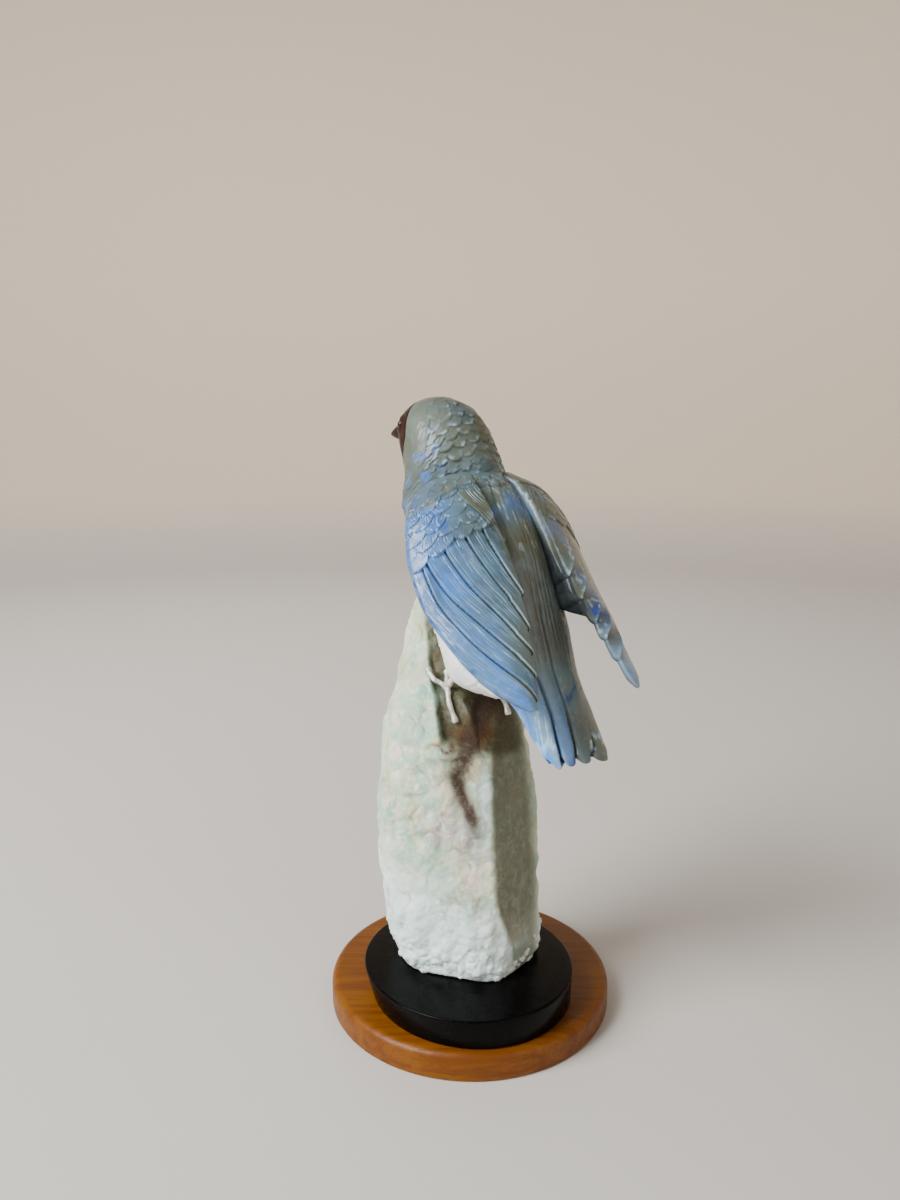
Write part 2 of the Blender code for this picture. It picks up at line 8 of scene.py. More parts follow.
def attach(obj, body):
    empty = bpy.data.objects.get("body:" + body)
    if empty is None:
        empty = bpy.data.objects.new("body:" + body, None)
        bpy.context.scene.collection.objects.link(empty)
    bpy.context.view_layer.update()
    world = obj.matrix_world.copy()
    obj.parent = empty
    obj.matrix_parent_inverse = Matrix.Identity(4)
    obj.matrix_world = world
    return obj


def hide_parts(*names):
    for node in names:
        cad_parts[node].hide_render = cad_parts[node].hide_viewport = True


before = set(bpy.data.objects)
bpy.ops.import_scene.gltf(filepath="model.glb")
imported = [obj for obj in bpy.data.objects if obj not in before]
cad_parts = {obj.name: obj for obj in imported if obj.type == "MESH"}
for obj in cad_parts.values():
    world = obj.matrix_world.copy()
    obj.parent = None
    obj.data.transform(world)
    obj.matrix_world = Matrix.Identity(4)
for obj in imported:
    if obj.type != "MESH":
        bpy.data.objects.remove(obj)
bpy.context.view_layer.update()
millimetre = 0.001
print("packed carving loaded:", len(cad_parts), "pieces")


# small helpers
def curveThrough(rows, column=1):  # a smooth curve through a table's rows that never overshoots them
    xs = np.array([row[0] for row in rows], float)
    ys = np.array([row[column] for row in rows], float)
    step = np.diff(xs)
    slope = np.diff(ys) / step
    tangent = np.zeros(len(xs))
    tangent[0], tangent[-1] = slope[0], slope[-1]
    for i in range(1, len(xs) - 1):
        if slope[i - 1] * slope[i] > 0:
            before = 2 * step[i] + step[i - 1]
            after = step[i] + 2 * step[i - 1]
            tangent[i] = (before + after) / (before / slope[i - 1] + after / slope[i])

    def value(x):
        x = np.clip(x, xs[0], xs[-1])
        i = np.clip(np.searchsorted(xs, x, side="right") - 1, 0, len(step) - 1)
        t = (x - xs[i]) / step[i]
        rest = (1 + 2 * t) * (1 - t) ** 2 * ys[i] + t * t * (3 - 2 * t) * ys[i + 1]
        lean = t * (1 - t) ** 2 * tangent[i] + t * t * (t - 1) * tangent[i + 1]
        return rest + lean * step[i]

    return value


def ramp(x, low, high):  # smooth step from 0 at low to 1 at high
    t = np.clip((np.asarray(x, float) - low) / (high - low), 0, 1)
    return t * t * (3 - 2 * t)


def fall(x, low, high):  # smooth step from 1 at low to 0 at high
    return 1 - ramp(x, low, high)


def span(x, start, full, fade, end):  # rises from start to full and falls from fade to end
    return ramp(x, start, full) * fall(x, fade, end)


def bell(x, centre, width):
    return np.exp(-((np.asarray(x, float) - centre) / width) ** 2)


def dome(x):  # a quarter round, from 0 at 0 to 1 at 1
    return np.sqrt(np.clip(1 - (1 - np.clip(x, 0, 1)) ** 2, 0, 1))


def latticeValue(cell, seed):  # one fixed value from 0 to 1 for each cell of a lattice
    n = cell[..., 0] * 374761393 + cell[..., 1] * 668265263 + cell[..., 2] * 974634777 + seed * 362437
    n = (n ^ (n >> 13)) & 0xFFFFFFFF
    n = (n * 1274126177) & 0xFFFFFFFF
    return ((n ^ (n >> 16)) & 0xFFFF) / 65535.0


def cloud(points, size, seed=0):  # smooth random field from -1 to 1
    p = np.asarray(points, float) / size
    cell = np.floor(p).astype(np.int64)
    f = p - cell
    f = f * f * (3 - 2 * f)
    total = 0.0
    for corner in range(8):
        step = np.array([(corner >> k) & 1 for k in range(3)])
        weight = np.prod(np.where(step, f, 1 - f), axis=-1)
        total = total + weight * latticeValue(cell + step, seed)
    return total * 2 - 1


def patches(points, size, seed, low, high):  # soft random patches from 0 to 1
    return ramp(cloud(points, size, seed), low, high)


def pebbles(points, size, seed):  # 0 on the seams between scattered lumps, up to 0.5 inside them
    p = np.asarray(points, float) / size
    cell = np.floor(p).astype(np.int64)
    first = np.full(p.shape[:-1], 9.0)
    second = np.full(p.shape[:-1], 9.0)
    for corner in range(27):
        near = cell + np.array([corner % 3 - 1, corner // 3 % 3 - 1, corner // 9 - 1])
        spot = near + np.stack([latticeValue(near, seed + k) for k in range(3)], -1)
        distance = np.linalg.norm(p - spot, axis=-1)
        second = np.minimum(second, np.maximum(first, distance))
        first = np.minimum(first, distance)
    return np.clip(second - first, 0, 0.5)


def onLine(x, y):  # a point for the random fields from two flat coordinates
    x, y = np.broadcast_arrays(x, y)
    return np.stack([x, y, np.zeros_like(x)], -1)


def allRound(count):  # evenly spaced angles for one ring
    return np.linspace(0, 2 * math.pi, count, endpoint=False)[None, :]


def pushOut(rings, height):  # moves each point along the skin's own normal
    along = np.gradient(rings, axis=0)
    around = np.roll(rings, -1, axis=1) - np.roll(rings, 1, axis=1)
    normal = np.cross(around, along)
    normal /= np.linalg.norm(normal, axis=-1, keepdims=True) + 1e-9
    if np.sum(normal * (rings - rings.mean(axis=1, keepdims=True))) < 0:
        normal = -normal
    return rings + normal * np.asarray(height)[..., None]


def withFlat(arc, count, swell=0.0):  # closes open rings by a flat of so many points, which can swell out
    chord = np.linspace(0, 1, count + 2)[None, 1:-1, None]
    flat = arc[:, -1:] * (1 - chord) + arc[:, :1] * chord
    return np.concatenate([arc, flat + swell * np.sin(math.pi * chord) ** 0.4], axis=1)


def linked(name, mesh):
    piece = bpy.data.objects.new(name, mesh)
    bpy.context.scene.collection.objects.link(piece)
    return piece


def facingOut(mesh):  # turns a closed mesh the right way round
    mesh.calc_loop_triangles()
    corners = np.empty(len(mesh.vertices) * 3)
    mesh.vertices.foreach_get("co", corners)
    corners = corners.reshape(-1, 3)
    order = np.empty(len(mesh.loop_triangles) * 3, np.int32)
    mesh.loop_triangles.foreach_get("vertices", order)
    a, b, c = (corners[order.reshape(-1, 3)[:, k]] for k in range(3))
    if np.sum(a * np.cross(b, c)) < 0:
        mesh.flip_normals()


def ringPiece(name, rings, marks=None, sunk=0.0):  # closed skin over rings of points in millimetres
    rows, count = rings.shape[:2]
    hubs = np.array([rings[0].mean(axis=0) + sunk, rings[-1].mean(axis=0)])
    corners = np.vstack([rings.reshape(-1, 3), hubs]) * millimetre
    row = np.arange(rows - 1)[:, None] * count
    here = np.arange(count)[None, :]
    after = (here + 1) % count
    faces = np.stack([row + here, row + after, row + count + after, row + count + here], -1)
    faces = faces.reshape(-1, 4).tolist()
    last = (rows - 1) * count
    for k in range(count):
        faces.append([rows * count, (k + 1) % count, k])
        faces.append([rows * count + 1, last + k, last + (k + 1) % count])
    mesh = bpy.data.meshes.new(name)
    mesh.from_pydata(corners.tolist(), [], faces)
    facingOut(mesh)
    mesh.shade_smooth()
    for mark, values in (marks or {}).items():
        values = np.broadcast_to(values, (rows, count))
        layer = mesh.attributes.new(mark, "FLOAT", "POINT")
        # a hub takes the strongest painted shade of its ring, and the mean of any other mark
        ends = [values[0].max() if mark == "cut" else values[0].mean(), values[-1].mean()]
        layer.data.foreach_set("value", np.concatenate([values.reshape(-1), ends]))
    return linked(name, mesh)


def settle(piece, material, node):  # one finished piece in place of its plain solid
    piece.data.materials.clear()
    piece.data.materials.append(material)
    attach(piece, "root")
    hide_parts(node)


# the bird's own grid, in millimetres: along the back, off the back, out to its left
songbird = {
    "heading": 36.0, "pitch": 57.0, "headTurn": 10.0, "neckTurnPlaces": 40.0,
    "gripOnRock": (-9.6, -22.0, 125.2), "gripOnBird": (42.4, -32.7, 15.1),
    "shoulder": 97.0, "pivotLevel": -31.0, "yawLevel": -8.0,
    # place along the back, then top, bottom, half width and widest level of the section there
    "body": (
        (0, 1.6, -4.6, 11.3, -3.0), (10, 1.8, -5.6, 12.6, -3.4), (20, 2.3, -7.4, 13.6, -3.8),
        (25, 2.9, -11.5, 14.0, -4.2), (30, 3.6, -19.5, 15.0, -5.5), (36, 4.8, -28.5, 17.2, -8.0),
        (44, 6.5, -34.6, 19.6, -10.0), (54, 8.8, -36.0, 20.3, -11.0), (66, 11.2, -35.8, 20.6, -11.8),
        (78, 12.0, -34.5, 20.4, -12.0), (88, 11.2, -31.3, 19.3, -12.0), (97, 9.0, -27.3, 17.8, -11.0),
    ),
    # degrees past the shoulder, then throat, crown, half width and widest level from the neck's pivot
    "head": (
        (0, 3.7, 40.0, 17.8, 20.0), (11, 5.2, 44.5, 17.0, 24.0), (20, 8.0, 47.6, 16.0, 28.0),
        (28, 12.0, 48.8, 14.7, 31.5), (36, 16.6, 48.4, 13.7, 34.0), (43, 20.8, 46.8, 12.4, 35.2),
        (49, 24.2, 44.4, 10.2, 35.4), (53, 26.9, 41.6, 7.6, 35.2), (56, 29.4, 39.2, 4.8, 34.8),
    ),
    "lean": (
        (0, -2.2), (15, -0.8), (30, 0.0), (78, 0.0), (90, 0.6), (97, 1.8), (104, 3.2),
        (110, 4.4), (127, 5.2), (153, 5.2),
    ),
    "bellySeam": (
        (24, 0.985), (26, 0.75), (31, 0.42), (38, 0.26), (50, 0.24), (62, 0.34), (72, 0.46),
        (80, 0.60), (87, 0.76), (93, 0.90), (97, 0.97),
    ),
    "seamLimit": 0.99, "seatGap": 0.3, "maskPlace": 136.2, "eyePlace": 144.6, "beakPlace": 153.0,
}
turnAway, tiltUp = math.radians(songbird["heading"]), math.radians(songbird["pitch"])
levelAhead = np.array([-math.sin(turnAway), math.cos(turnAway), 0.0])
straightUp = np.array([0.0, 0.0, 1.0])
forward = math.cos(tiltUp) * levelAhead + math.sin(tiltUp) * straightUp
offBack = -math.sin(tiltUp) * levelAhead + math.cos(tiltUp) * straightUp
leftward = np.array([-math.cos(turnAway), -math.sin(turnAway), 0.0])
gripOnRock, gripOnBird = np.array(songbird["gripOnRock"]), np.array(songbird["gripOnBird"])
bodyCurves = [curveThrough(songbird["body"], k) for k in range(1, 5)]
headCurves = [curveThrough(songbird["head"], k) for k in range(1, 5)]
leanAt, seamAt = curveThrough(songbird["lean"]), curveThrough(songbird["bellySeam"])
shoulder, maskPlace, beakPlace = (songbird[spot] for spot in ("shoulder", "maskPlace", "beakPlace"))


def onBird(along, level, out):
    d = np.stack(np.broadcast_arrays(along, level, out), -1) - gripOnBird
    return gripOnRock + d[..., :1] * forward + d[..., 1:2] * offBack + d[..., 2:] * leftward


def gridOf(points):  # the bird's grid from places in the carving's frame
    d = np.asarray(points) - gripOnRock
    return tuple(d @ axis + gripOnBird[k] for k, axis in enumerate((forward, offBack, leftward)))


def sectionAt(place):  # top, bottom, half width and widest level
    place = np.asarray(place, float)
    back, under, half, level = (curve(place) for curve in bodyCurves)
    throat, crown, headHalf, headLevel = (curve(place - shoulder) for curve in headCurves)
    pairs = ((back, crown), (under, throat), (half, headHalf), (level, headLevel))
    return tuple(np.where(place <= shoulder, *pair) for pair in pairs)


def onSection(place, across, up):
    place = np.asarray(place, float)
    swing = np.radians(np.maximum(place - shoulder, 0))
    low = place <= shoulder
    along = np.where(low, place, shoulder + up * np.sin(swing))
    level = np.where(low, up, songbird["pivotLevel"] + up * np.cos(swing))
    point = onBird(along, level, across + leanAt(place))
    axis = onBird(shoulder, songbird["yawLevel"], leanAt(place))
    yaw = math.radians(songbird["headTurn"]) * ramp(place - shoulder, 0, songbird["neckTurnPlaces"])
    dx, dy = point[..., 0] - axis[..., 0], point[..., 1] - axis[..., 1]
    turned = point.copy()
    turned[..., 0] = axis[..., 0] + dx * np.cos(yaw) - dy * np.sin(yaw)
    turned[..., 1] = axis[..., 1] + dx * np.sin(yaw) + dy * np.cos(yaw)
    return np.where(low[..., None] if low.ndim else low, point, turned)


def skin(place, angle, grow=0.0):  # angle 0 is the bird's left side, a quarter turn its back
    place, angle = np.broadcast_arrays(np.asarray(place, float), np.asarray(angle, float))
    top, bottom, half, level = sectionAt(place)
    rise = np.where(np.sin(angle) > 0, top + grow - level, level - bottom + grow)
    return onSection(place, (half + grow) * np.cos(angle), level + rise * np.sin(angle))


def seamAngle(place, below=0.0):
    top, bottom, half, level = sectionAt(place)
    return np.arcsin(np.minimum(seamAt(place) + below / (level - bottom), songbird["seamLimit"]))


def spanAcross(rings, middle):  # distance round each ring from one of its columns, in millimetres
    stride = np.linalg.norm(np.diff(rings, axis=1), axis=-1)
    length = np.concatenate([np.zeros((len(rings), 1)), np.cumsum(stride, axis=1)], axis=1)
    return length - length[:, middle:middle + 1]


def scaleCuts(along, around, length, width, seed, bulge, wander):
    # rows of rounded feather scales; along grows towards the head, and each row lies on the one below
    drift = onLine(along / 7.0, around / 7.0)
    row = (along + wander * cloud(drift, 1.0, seed)) / length
    around = around + wander * cloud(drift, 1.0, seed + 5)
    own = np.full(row.shape, -9.0)
    nextEdge = np.full(row.shape, 99.0)
    for step in (-1, 0, 1, 2):
        j = np.floor(row) + step
        phase = around / width + 0.5 * np.mod(j, 2) + 0.23 * np.sin(j * 12.9)
        side = 2 * (phase - np.floor(phase)) - 1
        edge = j - bulge * np.sqrt(np.clip(1 - side * side, 0, 1))
        reached = row >= edge
        own = np.where(reached, np.maximum(own, edge), own)
        nextEdge = np.where(reached, nextEdge, np.minimum(nextEdge, edge))
    return (row - own) * length, (nextEdge - row) * length  # from this scale's free edge, to the next one's


def strokes(u, v, lane, reach, seed, share=0.5, width=0.17):  # fine broken lines cut side by side along v
    number = np.floor(u / lane)
    cell = onLine(number, 0 * number).astype(np.int64)
    off = (u / lane - number - 0.5 - 0.5 * (latticeValue(cell, seed) - 0.5)) * lane
    breaks = onLine(number * 3.71, (v + 9.3 * number) / reach)
    return bell(off, 0, width) * patches(breaks, 1.0, seed, 0.3 - share * 0.6, 0.5 - share * 0.6)


# node helpers
def feed(tree, node, sockets):  # links or fills a node's sockets
    for label, value in sockets.items():
        if isinstance(value, bpy.types.NodeSocket):
            tree.links.new(value, node.inputs[label])
        elif value is not None:
            node.inputs[label].default_value = value


def put(tree, kind, sockets=None, **settings):  # adds a node
    node = tree.nodes.new(kind)
    for label, value in settings.items():
        setattr(node, label, value)
    feed(tree, node, sockets or {})
    return node


class Finish:  # one material, with its patterns sized in millimetres
    def __init__(self, name):
        self.material = bpy.data.materials.new(name)
        self.material.use_nodes = True
        self.tree = self.material.node_tree
        self.shader = self.tree.nodes["Principled BSDF"]
        where = self.put("TexCoord", output="Object")
        self.place = self.put("VectorMath", {0: where, "Scale": 1 / millimetre}, operation="SCALE")

    def put(self, kind, sockets=None, output=0, **settings):
        return put(self.tree, "ShaderNode" + kind, sockets, **settings).outputs[output]

    def noise(self, size, detail=3.0, rough=0.55, warp=0.0, drawn=None):  # drawn: along which turn, how much
        place = self.place
        if drawn:
            turn = (0, 0, math.radians(drawn[0]))
            place = self.put("Mapping", {"Vector": place, "Rotation": turn, "Scale": (drawn[1], 1, 1)})
        return self.put("TexNoise", {
            "Vector": place, "Scale": 1 / size, "Detail": detail, "Roughness": rough, "Distortion": warp,
        }, output="Fac")

    def cells(self, size):
        return self.put("TexVoronoi", {"Vector": self.place, "Scale": 1 / size}, output="Distance")

    def mark(self, name, share=1.0):
        layer = self.put("Attribute", output="Fac", attribute_name=name)
        return self.work("MULTIPLY", layer, share)

    def work(self, operation, a, b):
        return self.put("Math", {0: a, 1: b}, operation=operation)

    def between(self, value, low, high, start=0.0, end=1.0):
        return self.put("MapRange", {
            "Value": value, "From Min": low, "From Max": high, "To Min": start, "To Max": end,
        }, interpolation_type="SMOOTHSTEP")

    def blend(self, amount, below, above):
        below, above = ((*tint, 1.0) if isinstance(tint, tuple) else tint for tint in (below, above))
        return self.put("Mix", {"Factor": amount, 6: below, 7: above}, output=2, data_type="RGBA")

    def bump(self, height, depth, below=None):
        return self.put("Bump", {
            "Strength": 1.0, "Distance": depth * millimetre, "Height": height, "Normal": below,
        })

    def done(self, colour, roughness, normal, fixed):  # fixed: plain values that stay on the shader
        feed(self.tree, self.shader, {"Base Color": colour, "Roughness": roughness, "Normal": normal, **fixed})
        return self.material


def clouded(weight, radius, scale):  # how light sinks into a stone
    return {"Subsurface Weight": weight, "Subsurface Radius": radius, "Subsurface Scale": scale}


def polish(coat, coatRough, specular):
    return {"Coat Weight": coat, "Coat Roughness": coatRough, "Specular IOR Level": specular}


def layered(name, fields, base, layers, rough, relief=None, fixed=None):  # a finish from a few noises
    # layers: a noise, its range, the fullest share and the colour; rough: a noise, its range and the results
    stone = Finish(name)
    noises = {label: stone.noise(*values) for label, values in fields.items()}
    colour = base
    for field, low, high, most, tint in layers:
        amount = stone.between(noises[field], low, high, 0.0, most) if most else noises[field]
        colour = stone.blend(amount, colour, tint)
    normal = stone.bump(noises[relief[0]], relief[1]) if relief else None
    return stone.done(colour, stone.between(noises[rough[0]], *rough[1:]), normal, fixed or {})


# chalcedony: blue-grey translucent stone with cobalt clouds
chalcedonySettings = {
    "slate": (0.074, 0.118, 0.128), "blueGrey": (0.105, 0.180, 0.225), "milk": (0.21, 0.30, 0.33),
    # what each mark on a mesh does, painted highlights and painted shade among them: its colour, its least and
    # fullest share, and the mottle's range
    "marks": {
        "warm": ((0.205, 0.232, 0.198), 0.60, 1.0, 0.35, 0.60),
        # painted highlight: the bright blue sheen along a polished band
        "skyLight": ((0.13, 0.40, 0.86), 0.75, 1.0, 0.35, 0.60),
        # painted shade
        "paintedShade":((0.080, 0.084, 0.062), 0.70, 1.0, 0.35, 0.60),
        "olive": ((0.100, 0.110, 0.064), 0.45, 1.0, 0.30, 0.62),
        "blue": ((0.060, 0.205, 0.58), 0.62, 1.0, 0.30, 0.55),
        "cobalt": ((0.012, 0.044, 0.22), 0.35, 1.0, 0.40, 0.58),
        "straw": ((0.32, 0.29, 0.09), 0.50, 1.0, 0.35, 0.60),
        # painted highlights and glints
        "paintedGlint": ((0.52, 0.80, 1.0), 0.55, 0.9, 0.30, 0.60),
        # near-black painted shade in cut lines, undercuts and recesses
        "cut": ((0.008, 0.013, 0.016), 0.86, 1.0, 0.30, 0.60),
    },
    "cloudSize": 13.0, "mottleSize": 3.2, "gritSize": 0.35, "smooth": 0.12, "dull": 0.29,
    "cutDull": 0.30, "mattDull": 0.26, "gritDepth": 0.02, "mottleDepth": 0.09,
    "fixed": {**clouded(0.08, (1.0, 1.3, 1.6), 0.0008), **polish(0.18, 0.08, 0.34)},
}


def makeChalcedony():
    s = chalcedonySettings
    stone = Finish("carvedChalcedony")
    clouds = stone.noise(s["cloudSize"], 4.0, 0.55, 0.8)
    mottle = stone.noise(s["mottleSize"], 4.0, 0.6, 0.4)
    grit = stone.noise(s["gritSize"], 2.0, 0.6)
    colour = stone.blend(stone.between(clouds, 0.36, 0.60), s["slate"], s["blueGrey"])
    colour = stone.blend(stone.between(mottle, 0.52, 0.76, 0.0, 0.40), colour, s["milk"])
    for mark, (tint, least, most, low, high) in s["marks"].items():
        colour = stone.blend(stone.mark(mark, stone.between(mottle, low, high, least, most)), colour, tint)
    rough = stone.between(mottle, 0.3, 0.7, s["smooth"], s["dull"])
    for mark in ("cut", "matt"):
        rough = stone.work("ADD", rough, stone.mark(mark, s[mark + "Dull"]))
    relief = stone.bump(grit, s["gritDepth"], stone.bump(mottle, s["mottleDepth"]))
    return stone.done(colour, rough, relief, s["fixed"])


chalcedony = makeChalcedony()
print("chalcedony mixed")

# head, nape, back, rump and tail
backAndHead = {
    "bodyRows": 290, "headRows": 92, "arcPoints": 186, "chordPoints": 12, "tailEnd": 1.5, "tailReach": 6.0,
    # where the cuts between the tail feathers run: place along the back, and side to side from 1 to -1
    "tailCuts": (
        ((0, 0.78), (4, 0.72), (8, 0.64), (19.5, 0.46), (30, 0.45), (50, 0.45)),
        ((0, 0.37), (2, 0.34), (8, 0.19), (23, 0.01), (50, 0.0)),
        ((0, -0.08), (3, -0.25), (7, -0.42), (12, -0.45), (50, -0.45)),
    ),
    "tailCutEnds": (34.0, 52.0, 15.0), "tailCutDepth": 1.2, "tailCutWide": 0.42,
    "tipLength": 3.8, "tipSkew": 0.9, "tipUnder": 4.5, "tipHollow": 4.5,
    "strokeLane": 1.7, "strokeDepth": 0.24, "scaleLength": 2.8, "scaleWidth": 4.6, "scaleDepth": 0.36,
    "brow": 8.0, "cheek": 2.4,  # how much further forward the crown reaches, and how much less the cheeks
}
tailCutAt = [curveThrough(rows) for rows in backAndHead["tailCuts"]]


def browShift(place, angle):  # the crown runs further forward than the cheeks, and the face gives way
    rise = np.clip(np.sin(angle), 0, 1)
    shift = backAndHead["brow"] * rise ** 1.4 - backAndHead["cheek"] * (1 - rise) ** 4
    return span(place, 118, maskPlace, maskPlace + 1, beakPlace) * shift


def makeBackAndHead():
    s = backAndHead
    low = np.linspace(s["tailEnd"], shoulder, s["bodyRows"])
    high = np.linspace(shoulder, maskPlace, s["headRows"])[1:]
    place = np.concatenate([low, high])[:, None]
    dip = seamAngle(place)
    angle = -dip + (math.pi + 2 * dip) * np.linspace(0, 1, s["arcPoints"])[None, :]
    arc = skin(place + browShift(place, angle), angle)
    lateral = np.cos(angle)  # 1 at the bird's left, -1 at its right
    # each tail feather ends in its own rounded tip, and the underside ends sooner, so the tips stand free
    bounds = [1.0] + [float(cut(s["tailEnd"])) for cut in tailCutAt] + [-1.0]
    tip = np.zeros_like(lateral)
    for leftSide, rightSide in zip(bounds, bounds[1:]):
        t = (leftSide - lateral) / (leftSide - rightSide)
        tip = np.where((t >= 0) & (t <= 1), np.clip(1 - np.abs(2 * t - 1) ** 2.2, 0, 1) ** 0.5, tip)
    tip = s["tipLength"] * (tip - 0.70) - s["tipSkew"] * lateral
    pull = np.clip(1 - (place - s["tailEnd"]) / s["tailReach"], 0, 1) ** 1.3
    below = 0.6 * s["tipUnder"] * ramp(-np.sin(angle), 0.0, 0.5)
    arc = arc + ((below - tip) * pull)[..., None] * forward
    around = -spanAcross(arc, s["arcPoints"] // 2)
    topSide = ramp(np.sin(angle), -0.25, 0.05)
    onTail = np.minimum(place, 50)
    cutLine, bank = np.zeros_like(lateral), np.zeros_like(lateral)
    for cutAt, end in zip(tailCutAt, s["tailCutEnds"]):
        gap = (lateral - cutAt(onTail)) * sectionAt(place)[2]
        fade = fall(place, end - 9, end)
        cutLine = np.maximum(cutLine, bell(gap, 0, s["tailCutWide"]) * fade)
        bank = np.maximum(bank, np.exp(-np.abs(gap) / 2.2) * (gap < 0) * fade)  # the right feather dips in
    tipRow = fall(place, s["tailEnd"], s["tailEnd"] + 3.0)
    height = -s["tailCutDepth"] * cutLine * (0.45 + 0.75 * fall(place, 6, 26))
    height = height - (0.45 * bank + 0.55 * tipRow ** 2) * topSide
    # long strokes down the back between the wings, and fine ones between them
    backZone = span(place, 26, 40, 70, 80) * topSide
    line = strokes(around + 0.02 * place, place, s["strokeLane"], 12.0, 3, 0.40, 0.24) * backZone
    hair = strokes(around + 0.3, place, 0.9, 11.0, 8, 0.45, 0.20) * backZone
    # scapular feathers: curved strokes that fall from the hood beside the spine
    blade = around - 0.26 * (92 - place) * ramp(place, 60, 90)
    bladeZone = span(place, 62, 72, 91.5, 94.5) * topSide * fall(np.abs(lateral), 0.74, 0.86)
    bladeLine = strokes(blade, place, 2.3, 12.0, 13, 0.30, 0.28) * bladeZone
    bladeHair = strokes(blade + 0.5, place, 0.9, 12.0, 14, 0.50, 0.20) * bladeZone
    height = height - s["strokeDepth"] * (line + 1.9 * bladeLine) - 0.10 * hair - 0.16 * bladeHair
    # small rounded scales on the nape, fading out on the crown
    along = np.where(place > shoulder, shoulder + (place - shoulder) * 0.72, place) + 0 * angle
    hoodAt = 93.4 - 3.4 * np.clip(1 - np.abs(lateral), 0, 1)
    napeZone = ramp(place - hoodAt, 0, 2.5) * fall(place, 119, 133) * (1 - 0.6 * ramp(lateral, 0.80, 0.97))
    inside, ahead = scaleCuts(along, around, s["scaleLength"], s["scaleWidth"], 4, 0.72, 1.0)
    shown = napeZone * (0.40 + 0.60 * patches(onLine(along, around), 3.4, 6, -0.35, 0.25))
    rim, under = bell(inside, 0, 0.9) * shown, bell(ahead, 0, 0.42) * shown
    hood = bell(place, hoodAt, 0.6) * topSide * ramp(lateral, -0.6, 0.1)
    height = height + s["scaleDepth"] * (0.9 * rim - under) - 0.30 * hood
    height = height + (0.05 + 0.10 * napeZone) * cloud(arc, 2.4, 2) + 0.16 * cloud(arc, 7.0, 12)
    # where the stone's colours, painted highlights and painted shade lie
    patch, flecks = patches(arc, 6.0, 21, -0.05, 0.35), patches(arc, 3.0, 31, 0.0, 0.4)
    glints = patches(arc, 1.5, 41, 0.20, 0.38)  # where small painted glints lie
    leftSide, rightSide = ramp(lateral, 0.25, 0.85), ramp(-lateral, -0.15, 0.6)
    tailZone, headZone = fall(place, 24, 36), ramp(place, 97, 106)
    middle = ramp(lateral - tailCutAt[1](onTail), -0.02, 0.05) * (1 - leftSide)  # the middle tail feathers
    # where painted highlight streaks go on the tail's left feather
    paintedSheenZone = bell(lateral, 0.84, 0.16) * bell(place, 12, 9)
    tailGlintStrokes = strokes(around + 0.22 * place, place, 0.95, 6.0, 63, 0.60, 0.20) * paintedSheenZone
    drawnUp = np.array([1, 1, 0.4])
    marks = {
        "blue": tailZone * leftSide * (0.55 + 0.45 * ramp(lateral, 0.86, 0.97))
        + 0.45 * tailZone * middle * fall(place, 12, 30) + 0.45 * bladeZone * patch * bell(place, 84, 6)
        + 0.8 * bell(lateral, 0.86, 0.14) * span(place, 97, 101, 112, 126) * (0.1 + 0.9 * flecks),
        "cobalt": 0.9 * middle * fall(place, 4, 13) * (0.4 + 0.6 * patch)
        + 0.9 * bell(place + 11 * lateral + 2.0 * cloud(arc, 3.0, 45), 18.3, 1.5)
        * span(-lateral, -0.02, 0.1, 0.5, 0.7)
        + 0.35 * bell(place, 121, 5) * bell(lateral, 0.15, 0.2),
        "olive": headZone * (0.78 + 0.22 * rightSide) + 0.75 * bladeZone * (1 - 0.4 * patch)
        + 0.35 * rightSide * tailZone,
        "warm": 0.6 * tailZone * ramp(-lateral, -0.02, 0.4) + 0.40 * backZone * (0.4 + 0.6 * patch),
        "straw": 0.65 * bladeHair * flecks + 0.5 * bladeLine * patch
        + bell(place - hoodAt, 3.0, 3.0) * patches(arc, 2.2, 33, -0.1, 0.3) * ramp(lateral, 0.2, 0.5),
        # painted highlights: glints on scale rims and strokes, white streaks on the tail's left feather and
        # bright bits at the tail tips
        "paintedGlint": tailGlintStrokes + 0.60 * rim * glints * topSide * ramp(lateral, -0.8, 0.2)
        + 0.20 * hair * flecks + 0.45 * bladeHair * flecks
        + 0.6 * span(place, 2.5, 4.5, 7, 10) * ramp(-lateral, 0.1, 0.3) * patches(arc, 1.6, 43, 0.1, 0.5)
        + 0.55 * bell(lateral, 0.80, 0.13) * bell(place, 12, 10)
        + 0.12 * bell(lateral, 0.40, 0.16) * bell(place, 18, 10)
        + 0.9 * paintedSheenZone * patches(arc * drawnUp, 1.8, 44, 0.05, 0.35),
        # painted highlight along the tail's left band
        "skyLight": 0.85 * ramp(lateral, 0.80, 0.95) * tailZone,
        # painted shade on the back between the wings, the right of the nape and the tail end's right side; the
        # head is darkened as well, most on its top and left
        "paintedShade": 0.80 * backZone + 0.32 * headZone * ramp(lateral, -0.3, 0.4) + 0.15 * bladeZone
        + 0.60 * bell(place, 122, 5) * bell(lateral, 0.1, 0.2)
        + 0.8 * bell(place, 112, 4) * bell(lateral, -0.35, 0.25)
        + 0.40 * tailZone * (1 - leftSide) * fall(place, 10, 20),
        # near-black painted shade in the tail cuts, back strokes, scale edges and hood groove, and on the back's
        # right side beside the wing
        "cut": cutLine + 0.35 * bladeHair * (1 - flecks) + 0.50 * line + 0.65 * bladeLine + 0.25 * hood
        + 0.75 * ramp(-lateral, 0.62, 0.86) * span(place, 40, 50, 76, 88) + 0.40 * under + 0.12 * hair,
        "matt": headZone + 0.4 * backZone + 0.3 * bladeZone,
    }
    rings = withFlat(arc, s["chordPoints"], 0.4 * s["tipUnder"] * pull[..., None] * forward)
    full = np.zeros(rings.shape[:2])
